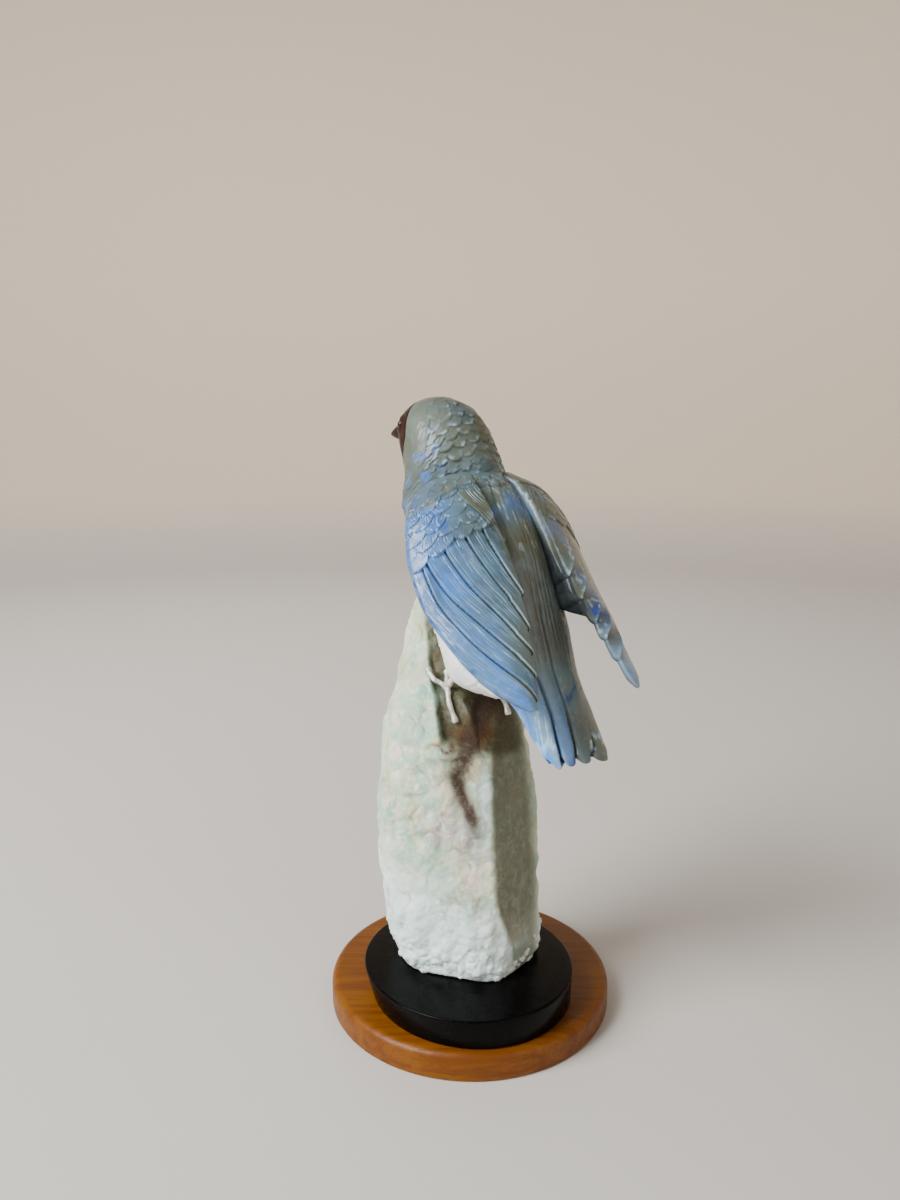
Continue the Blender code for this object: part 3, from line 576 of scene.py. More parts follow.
    fromEdge = np.minimum(np.arange(s["arcPoints"]), np.arange(s["arcPoints"])[::-1])
    full[:, :s["arcPoints"]] = height * ramp(fromEdge, 0, 5)[None, :]
    for mark, values in marks.items():
        values = np.broadcast_to(np.clip(values, 0, 1), arc.shape[:2])
        flat = np.repeat(values[:, -1:], s["chordPoints"], axis=1)
        # painted shade on the closing flat at the tail's end
        flat = np.maximum(flat, 0.95 * tipRow ** 0.5) if mark == "cut" else flat
        marks[mark] = np.concatenate([values, flat], axis=1)
    return ringPiece("backAndHead", pushOut(rings, full), marks, s["tipHollow"] * forward)


bird = makeBackAndHead()
settle(bird, chalcedony, "back_and_head")
print("back, head and tail carved:", len(bird.data.polygons), "faces")

# the two wings
wingSettings = {
    # the wing's front and rear edge: place, level off the back and distance out to the side
    "leading": (
        (17, 12.5, 22.1), (20.5, 10.4, 24.9), (30, 5.6, 29.6), (44, 1.4, 33.8), (59, -2.0, 35.5),
        (70, -2.2, 35.2), (82, -0.7, 33.0), (91, -0.6, 28.3), (98, -1.0, 19.0),
    ),
    "trailing": (
        (17, 13.7, 20.1), (26, 14.0, 16.3), (40, 14.1, 12.4), (54, 13.7, 9.4), (76, 13.0, 9.2),
        (91, 10.0, 9.0), (98, 6.0, 6.5),
    ),
    "start": 17.0, "end": 98.0, "thickness": 2.8, "step": 1.3, "camber": 0.10, "tipRound": 2.2,
    "rows": 290, "topPoints": 240, "underPoints": 60, "strokeLane": 1.5, "strokeDepth": 0.22,
    "scaleLength": 3.6, "scaleWidth": 7.6, "webDepth": 8.0, "rootDepth": 9.0,
    "hood": ((0.0, 91.5), (0.33, 90.1), (0.55, 88.6), (0.75, 86.8), (1.0, 85.6)),
    "underside": ((0.0, 0.5), (0.25, 0.9), (0.5, 1.1), (0.8, 1.1), (0.97, 0.8), (1.0, 0.6)),
}
# each long feather: where its tip ends, how far across the wing its outer edge reaches, and in what run
featherLayouts = {
    "left_wing": {
        "feathers": (
            (50.7, 0.32, 30.0), (39.9, 0.60, 35.0), (32.6, 0.76, 24.0), (25.7, 0.945, 22.0), (19.0, 0.88, 12.0),
        ),
        "covertTop": 78.0, "covertFall": 8.6, "scaleDepth": 0.30, "strokes": 1.0, "merge": 0.0, "notch": 1.4,
    },
    "right_wing": {
        "feathers": (
            (55.4, 0.45, 11.0), (47.2, 0.52, 11.0), (39.3, 0.62, 11.0), (33.6, 0.76, 11.0), (26.4, 0.88, 11.0),
        ),
        "covertTop": 80.0, "covertFall": 9.0, "scaleDepth": 0.14, "strokes": 0.35, "merge": 1.0, "notch": 1.3,
    },
}
leadingLevel, leadingOut, trailingLevel, trailingOut = (
    curveThrough(wingSettings[edge], k) for edge in ("leading", "trailing") for k in (1, 2)
)
hoodOnWing, undersideAt = curveThrough(wingSettings["hood"]), curveThrough(wingSettings["underside"])


def wingChord(place):
    return np.hypot(leadingLevel(place) - trailingLevel(place), leadingOut(place) - trailingOut(place))


def tipNotch(place, feathers, notch):  # the rear edge steps out below each feather's rounded tip
    tips = [feather[0] for feather in feathers] + [wingSettings["start"]]
    step = np.zeros_like(place)
    for upper, lower in zip(tips, tips[1:]):
        share = np.clip((place - lower) / (upper - lower), 0, 1)
        step = np.where((place >= lower) & (place < upper), notch * share ** 1.5, step)
    for tip in tips[:-1]:
        near = (place - tip) / wingSettings["tipRound"]
        step = np.where((near >= 0) & (near < 1), np.maximum(step, notch * (1 - dome(near))), step)
    return step * np.clip(wingChord(place) / 14.0, 0, 1)


def wingPoint(place, across, lift, side, layout):
    n0, l0 = trailingLevel(place), trailingOut(place)
    n1, l1 = leadingLevel(place), leadingOut(place)
    chord = wingChord(place) + 1e-6
    lift = lift + wingSettings["camber"] * chord * 4 * across * (1 - across)
    level = n0 + (n1 - n0) * across + lift * (l1 - l0) / chord
    notch = tipNotch(place, layout["feathers"], layout["notch"]) * (1 - across) ** 6
    out = l0 + (l1 - l0) * across - lift * (n1 - n0) / chord + notch
    return onBird(place, level, out * side)


def layFeathers(place, across, chord, feathers):  # which long feather each spot is on, and where on it
    lower, upper = np.zeros_like(across), np.ones_like(across)
    order = np.full(across.shape, float(len(feathers)))
    tipHere = np.full(across.shape, wingSettings["start"])
    for index, (tip, reach, run) in reversed(list(enumerate(feathers))):
        edge = np.where(place > tip, reach * (1 - np.exp(-(place - tip) / run)), -1.0)
        under = across <= edge
        upper = np.where(under, edge, upper)
        lower = np.where(~under & (edge > lower), edge, lower)
        order = np.where(under, index, order)
        tipHere = np.where(under, tip, tipHere)
    return (across - lower) * chord, (upper - lower) * chord, order, tipHere, lower > 0


def tipBelow(order, feathers):  # the tip of the feather that overlaps this spot
    tips = np.array([feathers[0][0]] + [feather[0] for feather in feathers])
    return tips[order.astype(int)]


def makeWing(name, side):
    s, layout = wingSettings, featherLayouts[name]
    feathers, merged = layout["feathers"], layout["merge"]
    place = np.linspace(s["start"], s["end"], s["rows"])[:, None]
    chord = wingChord(place)
    tipShare = np.clip((place - s["start"] + 0.4) / 4.0, 0, 1) ** 0.5
    across = np.linspace(0, 1, s["topPoints"])[None, :] + 0 * place
    wide = across * chord
    inward, width, order, tipHere, hasEdge = layFeathers(place, across, chord, feathers)
    toEdge = width - inward
    share = np.clip(inward / (width + 1e-6), 0, 1)
    last = order == len(feathers)
    fromTip, pastTip = place - tipHere, place - tipBelow(order, feathers)
    # each feather rises to its own rounded edge and is cut in below the next one
    rise = s["step"] * (1 + 0.5 * bell(fromTip, 0, 10)) * (1 - merged * ramp(fromTip, 6, 15))
    ownEdge = np.where(last, 1.0, dome(toEdge / 0.6))
    height = np.where(last, 0.30, 1.0) * rise * (0.55 * share + 0.45 * share ** 4) * ownEdge
    underCut = bell(inward / (0.34 + 0.25 * bell(pastTip, 2, 8)), 0, 1) * hasEdge
    underCut = underCut * (1 - merged * ramp(pastTip, 7, 13))
    height = height - 0.60 * underCut
    # long thin strokes cut side by side, left off the smooth end of each feather
    strokeZone = np.where(last, 0.9 * ramp(fromTip, 2, 7), ramp(fromTip, 7, 17)) * layout["strokes"]
    inFeather = toEdge + 7.3 * order  # strokes run along each feather's own outer edge
    fan = 0.10 * (place - 20) * last + 0.04 * place
    strokeLine = strokes(inFeather + fan, place + 2.0 * order, s["strokeLane"], 7.0, 15, 0.42, 0.16)
    strokeLine = strokeLine * strokeZone * ramp(toEdge, 0.3, 1.0) * ramp(inward, 0.2, 1.0)
    hairLine = strokes(inFeather + 1.2 * fan + 0.4, place, 0.85, 5.0, 35, 0.50, 0.18) * strokeZone
    height = height - s["strokeDepth"] * strokeLine - 0.07 * hairLine
    # broad low scales of the covering feathers over their roots, and small ones above the hood
    upPlace = place - (layout["covertTop"] - layout["covertFall"] * across ** 1.3)
    aboveHoodLine = place - hoodOnWing(across)
    inside, ahead = scaleCuts(upPlace, wide, s["scaleLength"], s["scaleWidth"], 9, 0.62, 0.9)
    rowStart = upPlace - inside
    covert = (upPlace > -0.8 * s["scaleLength"]) & (rowStart > -0.95 * s["scaleLength"]) & (inside < 50)
    covert = covert * 1.0
    small, smallAhead = scaleCuts(place, wide, 2.9, 4.4, 29, 0.75, 1.1)
    aboveHood = ramp(aboveHoodLine, -0.3, 0.6)
    inside = inside * (1 - aboveHood) + small * aboveHood
    ahead = ahead * (1 - aboveHood) + smallAhead * aboveHood
    patchy = 0.45 + 0.55 * patches(onLine(place, wide), 6.0, 19, -0.5, 0.2)
    # by the back, the hood's edge is combed into a strip of fine curved strokes
    pastStrip = across - 0.05 * ramp(place, 58, 66) - 0.30 * ramp(place, 66, 93) ** 1.6
    inStrip = fall(pastStrip, -0.03, 0.02) * ramp(place, 58, 64) * (1 - 0.9 * ramp(aboveHoodLine, -3, 0))
    strip = strokes(pastStrip * chord, place, 0.85, 6.0, 55, 0.55, 0.20) * inStrip
    stripLine = bell(pastStrip * chord, 0, 0.35) * ramp(place, 60, 66) * fall(aboveHoodLine, -2, 1)
    strip = np.maximum(strip, 0.8 * stripLine)
    strength = fall(place, 93, 98) * (1 - 0.45 * aboveHood) * patchy * layout["scaleDepth"] / 0.34
    shown = covert * strength * (1 - inStrip)
    scaleUnder, scaleRim = bell(ahead, 0, 0.36) * shown, bell(inside, 0, 0.9) * shown
    rays = strokes(wide + 0.5 * np.sin(place), place, 0.9, 1.6, 45, 0.45, 0.20) * (1 - aboveHood) * shown
    hoodCut = bell(aboveHoodLine, 0, 0.7) * patchy * 0.5
    covertTop = (0.85 - 0.60 * merged) * s["step"] + 0.26 * scaleRim - 0.34 * scaleUnder - 0.12 * rays
    covertTop = covertTop - 0.26 * strip - 0.30 * hoodCut + 0.25 * aboveHood
    covertTop = covertTop * (1 - 0.75 * ramp(across, 0.80, 1.0) * ramp(85 - place, 0, 8))
    height = height * (1 - covert) + covertTop * covert
    height = height * tipShare + 0.04 * cloud(onLine(place, wide), 2.2, 3 + side)
    edgeRound = dome((1 - across) * chord / 1.6)
    height = height * edgeRound - (1 - edgeRound) * 0.35 * s["thickness"]
    topSkin = wingPoint(place, across, height, side, layout)
    # underside, deeper where it runs into the flank and the shoulder, and set back from the trailing edge
    back = np.linspace(1, 0, s["underPoints"] + 2)[None, 1:-1] + 0 * place
    tucked = 0.15 + 0.85 * ramp(back, 0.0, 0.20)
    web = s["webDepth"] * ramp(place, 40, 50) * np.clip(1.3 - 1.6 * back, 0, 1) * tucked
    root = s["rootDepth"] * ramp(place, 72, 92) * tucked
    ribs = strokes(back * 30.0 - 0.15 * place, place, 3.2, 20.0, 25, 0.35)
    lift = -s["thickness"] * undersideAt(back) * tipShare - np.maximum(root, web) + 0.22 * ribs * tipShare
    underSkin = wingPoint(place, back, lift, side, layout)
    # where the stone's colours, painted highlights and painted shade lie
    left = 1.0 if side > 0 else 0.0
    right = 1 - left
    patch, flecks = patches(topSkin, 7.0, 51, -0.1, 0.35), patches(topSkin, 3.0, 71, 0.05, 0.4)
    # where small painted glints lie
    glints = patches(topSkin, 1.4, 61, 0.30, 0.55)
    feather = 1 - covert
    tipZone = fall(fromTip, 5, 20) * (order < 4) * feather
    outer = ramp(across, 0.30, 0.75)
    nearOwnEdge = bell(toEdge, 0, 0.5) * (order < 5)
    marks = {
        "blue": left * (0.18 + 0.78 * outer) * (1 - 0.85 * tipZone) * (1 - 0.75 * aboveHood)
        * (0.55 + 0.45 * patch) * (1 - inStrip) * (1 - 0.6 * covert * (1 - outer))
        * (1 - 0.35 * covert * (1 - flecks))
        + right * (0.28 * patch + 0.45 * bell(place, 24, 7)) * (1 - 0.6 * covert),
        "cobalt": left * flecks * (0.75 * ramp(across, 0.88, 0.98) + 0.60 * covert * (1 - aboveHood) * outer)
        + right * 0.95 * bell(place - 5 * across, 41.8, 3.3) * span(across, -0.02, 0.08, 0.55, 0.8),
        "olive": 0.62 * tipZone * left + right * (0.30 * (1 - patch) + 0.35 * covert + 0.15)
        + 0.5 * aboveHood + 0.8 * inStrip,
        "straw": 1.3 * bell(inward, 0, 0.7) * hasEdge * bell(pastTip, 3, 6) * feather * (0.35 + 0.65 * left)
        + 0.15 * strip * flecks * ramp(place, 84, 92)
        + 0.85 * bell(aboveHoodLine, 0.6, 1.6) * patches(topSkin, 2.5, 81, 0.0, 0.4) * ramp(across, 0.35, 0.5),
        # painted highlights: glints on strokes, scale rims and feather edges and tips, and on the right wing a
        # bright line along its rear edge
        "paintedGlint": 0.62 * strokeLine * (1 - 0.5 * ramp(place, 52, 66)) * (0.35 + 0.65 * flecks) * feather
        + 0.22 * hairLine * feather + 0.85 * scaleRim * glints + 0.50 * rays * flecks
        + 0.30 * strip * (1 - flecks)
        + 0.42 * nearOwnEdge * tipZone + right * (
            0.45 * bell(across, 0.030, 0.014) * span(place, 50, 60, 74, 84) + 0.35 * tipZone * glints
            + 0.5 * bell(pastTip, -1, 2.5) * ramp(-fromTip, -5, 0) + 0.30 * fall(place, 24, 34)),
        "warm": right * (0.15 * ramp(across, 0.10, 0.4) + 0.40) * (0.5 + 0.5 * patch) * ramp(place, 20, 30)
        + 0.12 * left * tipZone,
        "skyLight": 0.0,
        # painted shade on the fine strokes, the right wing and the combed strip
        "paintedShade": 0.30 * hairLine + right * (0.46 + 0.25 * bell(place, 74, 7)) * ramp(place, 24, 36)
        + 0.35 * inStrip,
        # near-black painted shade under feather edges and scales, in the hood line, rays and combed strip
        "cut": 0.95 * underCut * feather + 0.45 * scaleUnder + 0.4 * hoodCut * covert * (1 - inStrip)
        + 0.25 * rays + 0.45 * strip,
        "matt": 0.45 * covert + 0.2 * aboveHood,
    }
    # painted shade on a strip along each wing's rear edge
    border = fall(wide, 0.1, 0.3) * span(place, 36, 46, 58, 74)
    marks["cut"] = np.maximum(marks["cut"], 0.95 * border)
    marks["matt"] = np.maximum(marks["matt"], border)
    # painted shade on the web under the wing
    webShade = fall(back, 0.45, 0.8) * span(place, 34, 42, 68, 84)
    # the underside's marks: painted shade, and on the right wing a painted highlight towards the shoulder
    bareUnder = {
        "blue": 0.35 * left + 0.3 * right * ramp(place, 72, 84), "olive": 0.35, "paintedShade": 0.35,
        "paintedGlint": 0.22 * right * ramp(place, 70, 82), "cut": webShade, "matt": 0.6 + webShade,
    }
    for mark, values in marks.items():
        values = np.broadcast_to(np.clip(values, 0, 1), topSkin.shape[:2])
        marks[mark] = np.concatenate([values, bareUnder.get(mark, 0.0) + 0 * back], axis=1)
    return ringPiece(name.replace("_w", "W"), np.concatenate([topSkin, underSkin], axis=1), marks)


for wingName, side in (("left_wing", 1), ("right_wing", -1)):
    wing = makeWing(wingName, side)
    settle(wing, chalcedony, wingName)
print("wings carved:", len(wing.data.polygons), "faces each")

# white belly
bellySettings = {
    "rows": 190, "points": 150, "chordPoints": 10, "start": 24.6,
    # the flank's swelling by the left leg: place, reach, turn, spread and height
    "lobe": (41.0, 8.5, -0.70, 0.50, 2.1),
    "tuftLength": 5.5, "tuftWidth": 7.5, "tuftDepth": 0.36,
}
whiteStone = {
    "fields": {"soft": (9.0, 3.0, 0.5, 0.4), "grain": (1.1, 3.0, 0.6)}, "base": (0.90, 0.93, 0.90),
    "layers": (
        ("soft", 0.35, 0.65, 1.0, (0.76, 0.85, 0.85)), ("grain", 0.6, 0.8, 0.35, (0.95, 0.95, 0.93)),
    ),
    "rough": ("grain", 0.3, 0.7, 0.38, 0.52), "relief": ("grain", 0.03),
    "fixed": clouded(0.12, (1.2, 1.1, 1.0), 0.0012),
}


def makeBelly():
    s = bellySettings
    place = np.linspace(s["start"], shoulder, s["rows"])[:, None]
    dip = seamAngle(place, songbird["seatGap"])
    angle = math.pi + dip + (math.pi - 2 * dip) * np.linspace(0, 1, s["points"])[None, :]
    arc = skin(place, angle)
    rings = withFlat(arc, s["chordPoints"])
    # soft tufts, and a swelling of the flank by the left leg
    at, reach, turn, spread, lobe = s["lobe"]
    around = spanAcross(arc, s["points"] // 2)
    inside, ahead = scaleCuts(place + 0 * angle, around, s["tuftLength"], s["tuftWidth"], 71, 0.6, 1.6)
    tufts = patches(arc, 6.0, 72, -0.4, 0.3) * (bell(inside, 0, 1.2) - bell(ahead, 0, 0.6))
    height = 0.16 * cloud(rings, 5.0, 14) + 0.07 * cloud(rings, 2.0, 15)
    height[:, :s["points"]] += s["tuftDepth"] * tufts
    height[:, :s["points"]] += lobe * bell(place, at, reach) * bell(angle, 2 * math.pi + turn, spread)
    return ringPiece("belly", pushOut(rings, height))


settle(makeBelly(), layered("chalkWhiteStone", **whiteStone), "belly")
print("belly set in")

# red face, beak and eyes
faceSettings = {
    "rows": 70, "points": 140, "eyeRadius": 1.8, "eyeSunk": 0.78, "eyeAngle": 10.0,
    "rimDepth": 0.35, "rimWidth": 0.5, "socketDepth": 0.9, "socketRoom": 0.1,
}
beakSettings = {
    "length": 10.0, "hook": 1.0, "share": 0.86, "taper": 0.72, "tip": 0.05, "rows": 60, "points": 64,
    "gape": 0.28, "nostril": 0.3, "nostrilPlace": 0.20, "nostrilTurn": 0.62,
}
redJasper = {
    "fields": {"clouds": (5.0, 4.0, 0.6, 0.8), "fine": (0.8, 3.0, 0.6)}, "base": (0.012, 0.005, 0.004),
    "layers": (
        ("clouds", 0.38, 0.62, 1.0, (0.028, 0.0085, 0.006)), ("fine", 0.62, 0.8, 0.4, (0.048, 0.018, 0.012)),
    ),
    "rough": ("fine", 0.3, 0.7, 0.28, 0.40), "relief": ("fine", 0.02), "fixed": polish(0.0, 0.03, 0.12),
}
darkHorn = {
    "fields": {"clouds": (3.5, 3.0, 0.5, 0.5), "grain": (0.7, 3.0, 0.6)}, "base": (0.010, 0.006, 0.004),
    "layers": (("clouds", 0.4, 0.7, 1.0, (0.028, 0.015, 0.008)),),
    "rough": ("grain", 0.3, 0.7, 0.24, 0.36), "relief": ("grain", 0.02), "fixed": polish(0.0, 0.03, 0.08),
}
blackBead = {
    "fields": {"smear": (1.2, 2.0, 0.5)}, "base": (0.006, 0.005, 0.005),
    "layers": (("smear", None, None, None, (0.016, 0.012, 0.010)),),
    "rough": ("smear", 0.3, 0.7, 0.10, 0.20), "fixed": polish(0.2, 0.06, 0.5),
}


def eyeCentre(side):
    turn = math.radians(faceSettings["eyeAngle"])
    turn = turn if side > 0 else math.pi - turn
    surface = skin(songbird["eyePlace"], turn)
    outward = skin(songbird["eyePlace"], turn, 1.0) - surface
    return surface - outward / np.linalg.norm(outward) * faceSettings["eyeRadius"] * faceSettings["eyeSunk"]


def makeFace():
    s = faceSettings
    seat = maskPlace + math.degrees(songbird["seatGap"] / float(sectionAt(maskPlace)[1]))
    place = np.linspace(seat, beakPlace, s["rows"])[:, None]
    angle = allRound(s["points"])
    rings = skin(place + browShift(place, angle), angle)
    flow = cloud(onLine(place / 3.0, angle * 8.0), 1.0, 6)
    height = 0.08 * cloud(rings, 2.6, 5) - 0.10 * bell(flow, 0, 0.12) * fall(place, 146, 151)
    for side in (1, -1):
        past = np.linalg.norm(rings - eyeCentre(side), axis=-1) - s["eyeRadius"] - s["socketRoom"]
        height = height - s["socketDepth"] * fall(past, 0, s["rimWidth"])
        height = height + s["rimDepth"] * bell(past, 0.9, 0.45)
    return ringPiece("faceMask", pushOut(rings, height))


def makeBeak():
    s = beakSettings
    top, bottom, half, level = (float(v) for v in sectionAt(beakPlace))
    middle = (top + bottom) / 2
    seat = onSection(beakPlace, 0.0, middle)
    up, left = onSection(beakPlace, 0.0, middle + 1) - seat, onSection(beakPlace, 1.0, middle) - seat
    up, left = up / np.linalg.norm(up), left / np.linalg.norm(left)
    t = np.linspace(0, 1, s["rows"])[:, None]
    turn = allRound(s["points"])
    size = (1 - t) ** s["taper"] + s["tip"]
    tall, wide = (top - bottom) / 2 * s["share"] * size, half * s["share"] * size
    keel = 1 + 0.10 * np.clip(np.sin(turn), 0, 1) ** 6  # the upper ridge is a little keeled
    rise = tall * np.sin(turn) * keel
    rings = (
        seat + (songbird["seatGap"] + s["length"] * t + 0 * turn)[..., None] * np.cross(left, up)
        + (rise - s["hook"] * t * t)[..., None] * up + (wide * np.cos(turn))[..., None] * left
    )
    gapeLine = bell(rise / (tall + 1e-6), -0.16, 0.10) * fall(t, 0.80, 0.97)
    nostril = sum(
        bell(t, s["nostrilPlace"], 0.055) * bell(turn, spot, 0.22)
        for spot in (s["nostrilTurn"], math.pi - s["nostrilTurn"])
    )
    height = -s["gape"] * gapeLine - s["nostril"] * nostril
    return ringPiece("beak", pushOut(rings, height * np.clip(size * 1.6, 0, 1)))


def makeBead(name, centre, radius):
    turns, poleGap = allRound(40), 0.04
    rise = np.linspace(poleGap - math.pi / 2, math.pi / 2 - poleGap, 24)[:, None]
    ball = np.broadcast_arrays(np.cos(rise) * np.cos(turns), np.cos(rise) * np.sin(turns), np.sin(rise))
    return ringPiece(name, centre + np.stack(ball, -1) * radius)


settle(makeFace(), layered("redJasper", **redJasper), "face_mask")
settle(makeBeak(), layered("darkHornStone", **darkHorn), "beak")
eyeGlass = layered("blackEyeBead", **blackBead)
for eyeName, side in (("left_eye", 1), ("right_eye", -1)):
    eye = makeBead(eyeName.replace("_e", "E"), eyeCentre(side), faceSettings["eyeRadius"])
    settle(eye, eyeGlass, eyeName)
print("face, beak and eyes set")

# rough mineral rock
rockSettings = {
    # height, then left, right, front and back of the rock there
    "outline": (
        (0, -25.5, 23.5, -29.0, 9.0), (4, -27.3, 24.8, -30.6, 11.0), (24, -31.0, 25.0, -31.0, 16.0),
        (50, -33.2, 23.7, -30.1, 18.0), (74, -31.4, 20.8, -28.4, 19.0), (93, -28.6, 15.5, -26.8, 20.5),
        (100, -27.0, 10.0, -23.6, 21.0), (104, -26.0, 7.5, -16.0, 21.5), (111, -24.0, 6.5, -6.8, 22.0),
        (120, -21.2, 5.0, -1.0, 21.5), (128, -18.6, 2.0, 3.0, 20.0), (133, -15.5, -2.5, 6.5, 17.0),
    ),
    "faces": ((0, 0.97), (50, 1.02), (98, 0.97), (150, 1.0), (200, 0.97), (250, 0.88), (325, 0.88)),
    "edge": 9.0, "foot": 21.3, "rows": 250, "points": 350, "bodyRoom": 1.2,
    # lines on the lit side, as height on the rock and place across it
    "ridge": (
        (0, 14.0), (14.5, 12.3), (27, 8.3), (37, 7.1), (51, 6.3), (61, 5.9), (73, 5.6), (81, 6.4),
        (92, 7.0), (112, 2.0),
    ),
    "crest": (
        (80, -7.0), (82, -9.8), (85, -10.8), (91, -11.8), (100, -13.6), (106, -14.8), (110, -15.2), (120, -17.0),
    ),
    "vein": (
        (44, 1.0), (48, 0.6), (60, -0.7), (66, -3.2), (72, -5.0), (77, -3.6), (82, -1.7), (88, 0.9),
        (96, 5.0), (104, 6.0),
    ),
    "veinWide": ((44, 1.1), (54, 1.9), (62, 2.5), (72, 3.1), (82, 3.5), (92, 3.8), (104, 3.0)),
    "hollowDepth": 3.4, "ledge": 81.5, "ridgeRise": 0.8,
    # lumps and dents: across, up, half width, half height, how far in (or out, below 0)
    "dents": (
        (5.0, 96.0, 3.6, 4.6, 1.6), (-3.6, 70.0, 2.6, 11.0, 1.5), (2.6, 64.0, 2.6, 12.0, -1.1),
        (16.5, 11.0, 3.3, 3.0, -1.6), (-10.0, 79.0, 5.0, 2.0, -1.2), (-20.0, 91.0, 4.0, 9.0, 0.8),
        (2.0, 27.0, 2.6, 9.0, 0.9), (-9.0, 56.0, 5.0, 7.0, 0.7), (-24.0, 60.0, 5.0, 12.0, -0.6),
        (9.0, 16.0, 2.0, 6.0, 0.9),
    ),
    # single spots of each stain: share, across, up, half width, half height
    "spots": {
        "vein": ((1.1, 5.2, 96.5, 3.6, 4.4),),
        "rust": (
            (1, 1.0, 86, 5.5, 4.0), (0.9, -10.5, 81.5, 5.0, 1.2), (0.5, -14.5, 104, 3.0, 1.6),
            (0.5, -13, 108, 3.0, 2.0),
        ),
        "teal": (
            (1, -16, 96, 2.4, 6), (0.8, -15.5, 87, 2.0, 3), (1, -23, 39, 2.0, 4), (0.8, -28, 57, 1.6, 3),
            (0.8, -17, 60, 1.2, 4),
        ),
        "lilac": ((1, -10.5, 54, 3.5, 6), (1, -7.3, 61, 2.5, 4), (0.8, -3.5, 50, 5, 6)),
        "blush": ((1, -2.5, 36, 3.0, 5), (1, 2.5, 28, 2.4, 6), (1, 9.0, 18, 2.0, 5), (0.5, -9, 27, 2.5, 3)),
        "ochre": ((1, -18, 120, 4, 6), (0.6, -25, 105, 3, 6)),
        "snow": ((1, 4.2, 63, 1.9, 13), (1, 16.5, 11, 3.4, 3.2)),
    },
}
rockCurves = [curveThrough(rockSettings["outline"], k) for k in range(1, 5)]
ridgeAt, crestAt, veinAt, veinWideAt = (
    curveThrough(rockSettings[line]) for line in ("ridge", "crest", "vein", "veinWide")
)


def rockReach(angle):
    edge = rockSettings["edge"]
    total = np.zeros_like(angle)
    for direction, distance in rockSettings["faces"]:
        total += (np.clip(np.cos(angle - math.radians(direction)), 0, None) / distance) ** edge
    return total ** (-1 / edge)


def clearOfBody(points, room):  # moves points out from under the bird's body
    s, n, l = gridOf(points)
    top, bottom, half, level = sectionAt(np.clip(s, 0, shoulder))
    across, up = l - leanAt(s), n - level
    rise = np.where(up > 0, top - level, level - bottom) + room
    share = np.sqrt((across / (half + room)) ** 2 + (up / rise) ** 2) + 1e-6
    factor = np.where((share < 1) & (s > 12) & (s < shoulder + 2), 1 / share - 1, 0.0)
    return points + (across * factor)[..., None] * leftward + (up * factor)[..., None] * offBack


def inHollow(x, h):  # the sunk face to the right of the crest, above the ledge, which takes a dark olive colour and painted shade
    ledge = rockSettings["ledge"]
    return ramp(x - crestAt(h), -0.3, 1.6) * ramp(h + 0.25 * x, ledge - 2.2, ledge + 1.0)


def rockColours(points, lit, creaseShadeMask):  # where each stain and each painted shade lies on the rock
    x, h = points[..., 0], points[..., 2] - rockSettings["foot"]
    wob = 1.6 * cloud(points, 6.0, 91) + 0.9 * cloud(points, 2.2, 92)
    tall = 2.0 * cloud(points * np.array([1, 1, 0.35]), 3.0, 96)
    fromVein = (x + 0.5 * wob - veinAt(h)) / veinWideAt(h)
    veinFade = ramp(h, 50, 60) * (1 - 0.4 * ramp(h, 96, 102))
    mottled = 0.80 + 0.20 * patches(points, 2.0, 97, -0.5, 0.1)
    vein = np.exp(-np.abs(fromVein) ** 3.5) * veinFade * lit * mottled
    # painted shade on the sunk face right of the crest, over its dark olive colour
    shadedHollow = inHollow(x + 0.4 * wob, h) * lit * fall(h, 118, 124)
    # the right face: its olive-grey colour and the painted shade of the side away from the light
    rightFaceOliveShade = ramp(x - ridgeAt(h) + 0.35 * wob, -0.2, 1.8) * lit
    stains = {
        "vein": vein, "rust": 0.7 * bell(fromVein, 0, 1.9) * veinFade * lit, "shadedHollow": shadedHollow,
        "rightFaceOliveShade": rightFaceOliveShade * (0.75 + 0.25 * ramp(h, 8, 26)),
        "teal": 0.55 * patches(points, 7.0, 93, 0.2, 0.5),
        "lilac": 0.7 * bell(fromVein, 0, 1.5) * span(h, 34, 46, 62, 70) * lit
        + 0.35 * ramp(tall, 0.7, 1.5) * lit * (1 - rightFaceOliveShade),
        "blush": 0.0, "ochre": 0.6 * patches(points, 5.0, 95, 0.35, 0.6) * ramp(h, 30, 50),
        # the last entry is painted shade in the creases
        "snow": fall(h + 0.35 * x + 2.0 * wob, 14, 40) * (1 - 0.9 * rightFaceOliveShade), "creaseShade": creaseShadeMask,
    }
    for stain, spots in rockSettings["spots"].items():
        for share, across, up, wide, high in spots:
            spot = bell(x + wob, across, wide) * bell(h + 1.4 * wob, up, high)
            stains[stain] = stains[stain] + share * spot * lit
    stains = {stain: np.clip(amount, 0, 1) for stain, amount in stains.items()}
    stains["snow"] = stains["snow"] * (1 - vein)
    stains["creaseShade"] = stains["creaseShade"] * (1 - 0.5 * shadedHollow)
    return stains


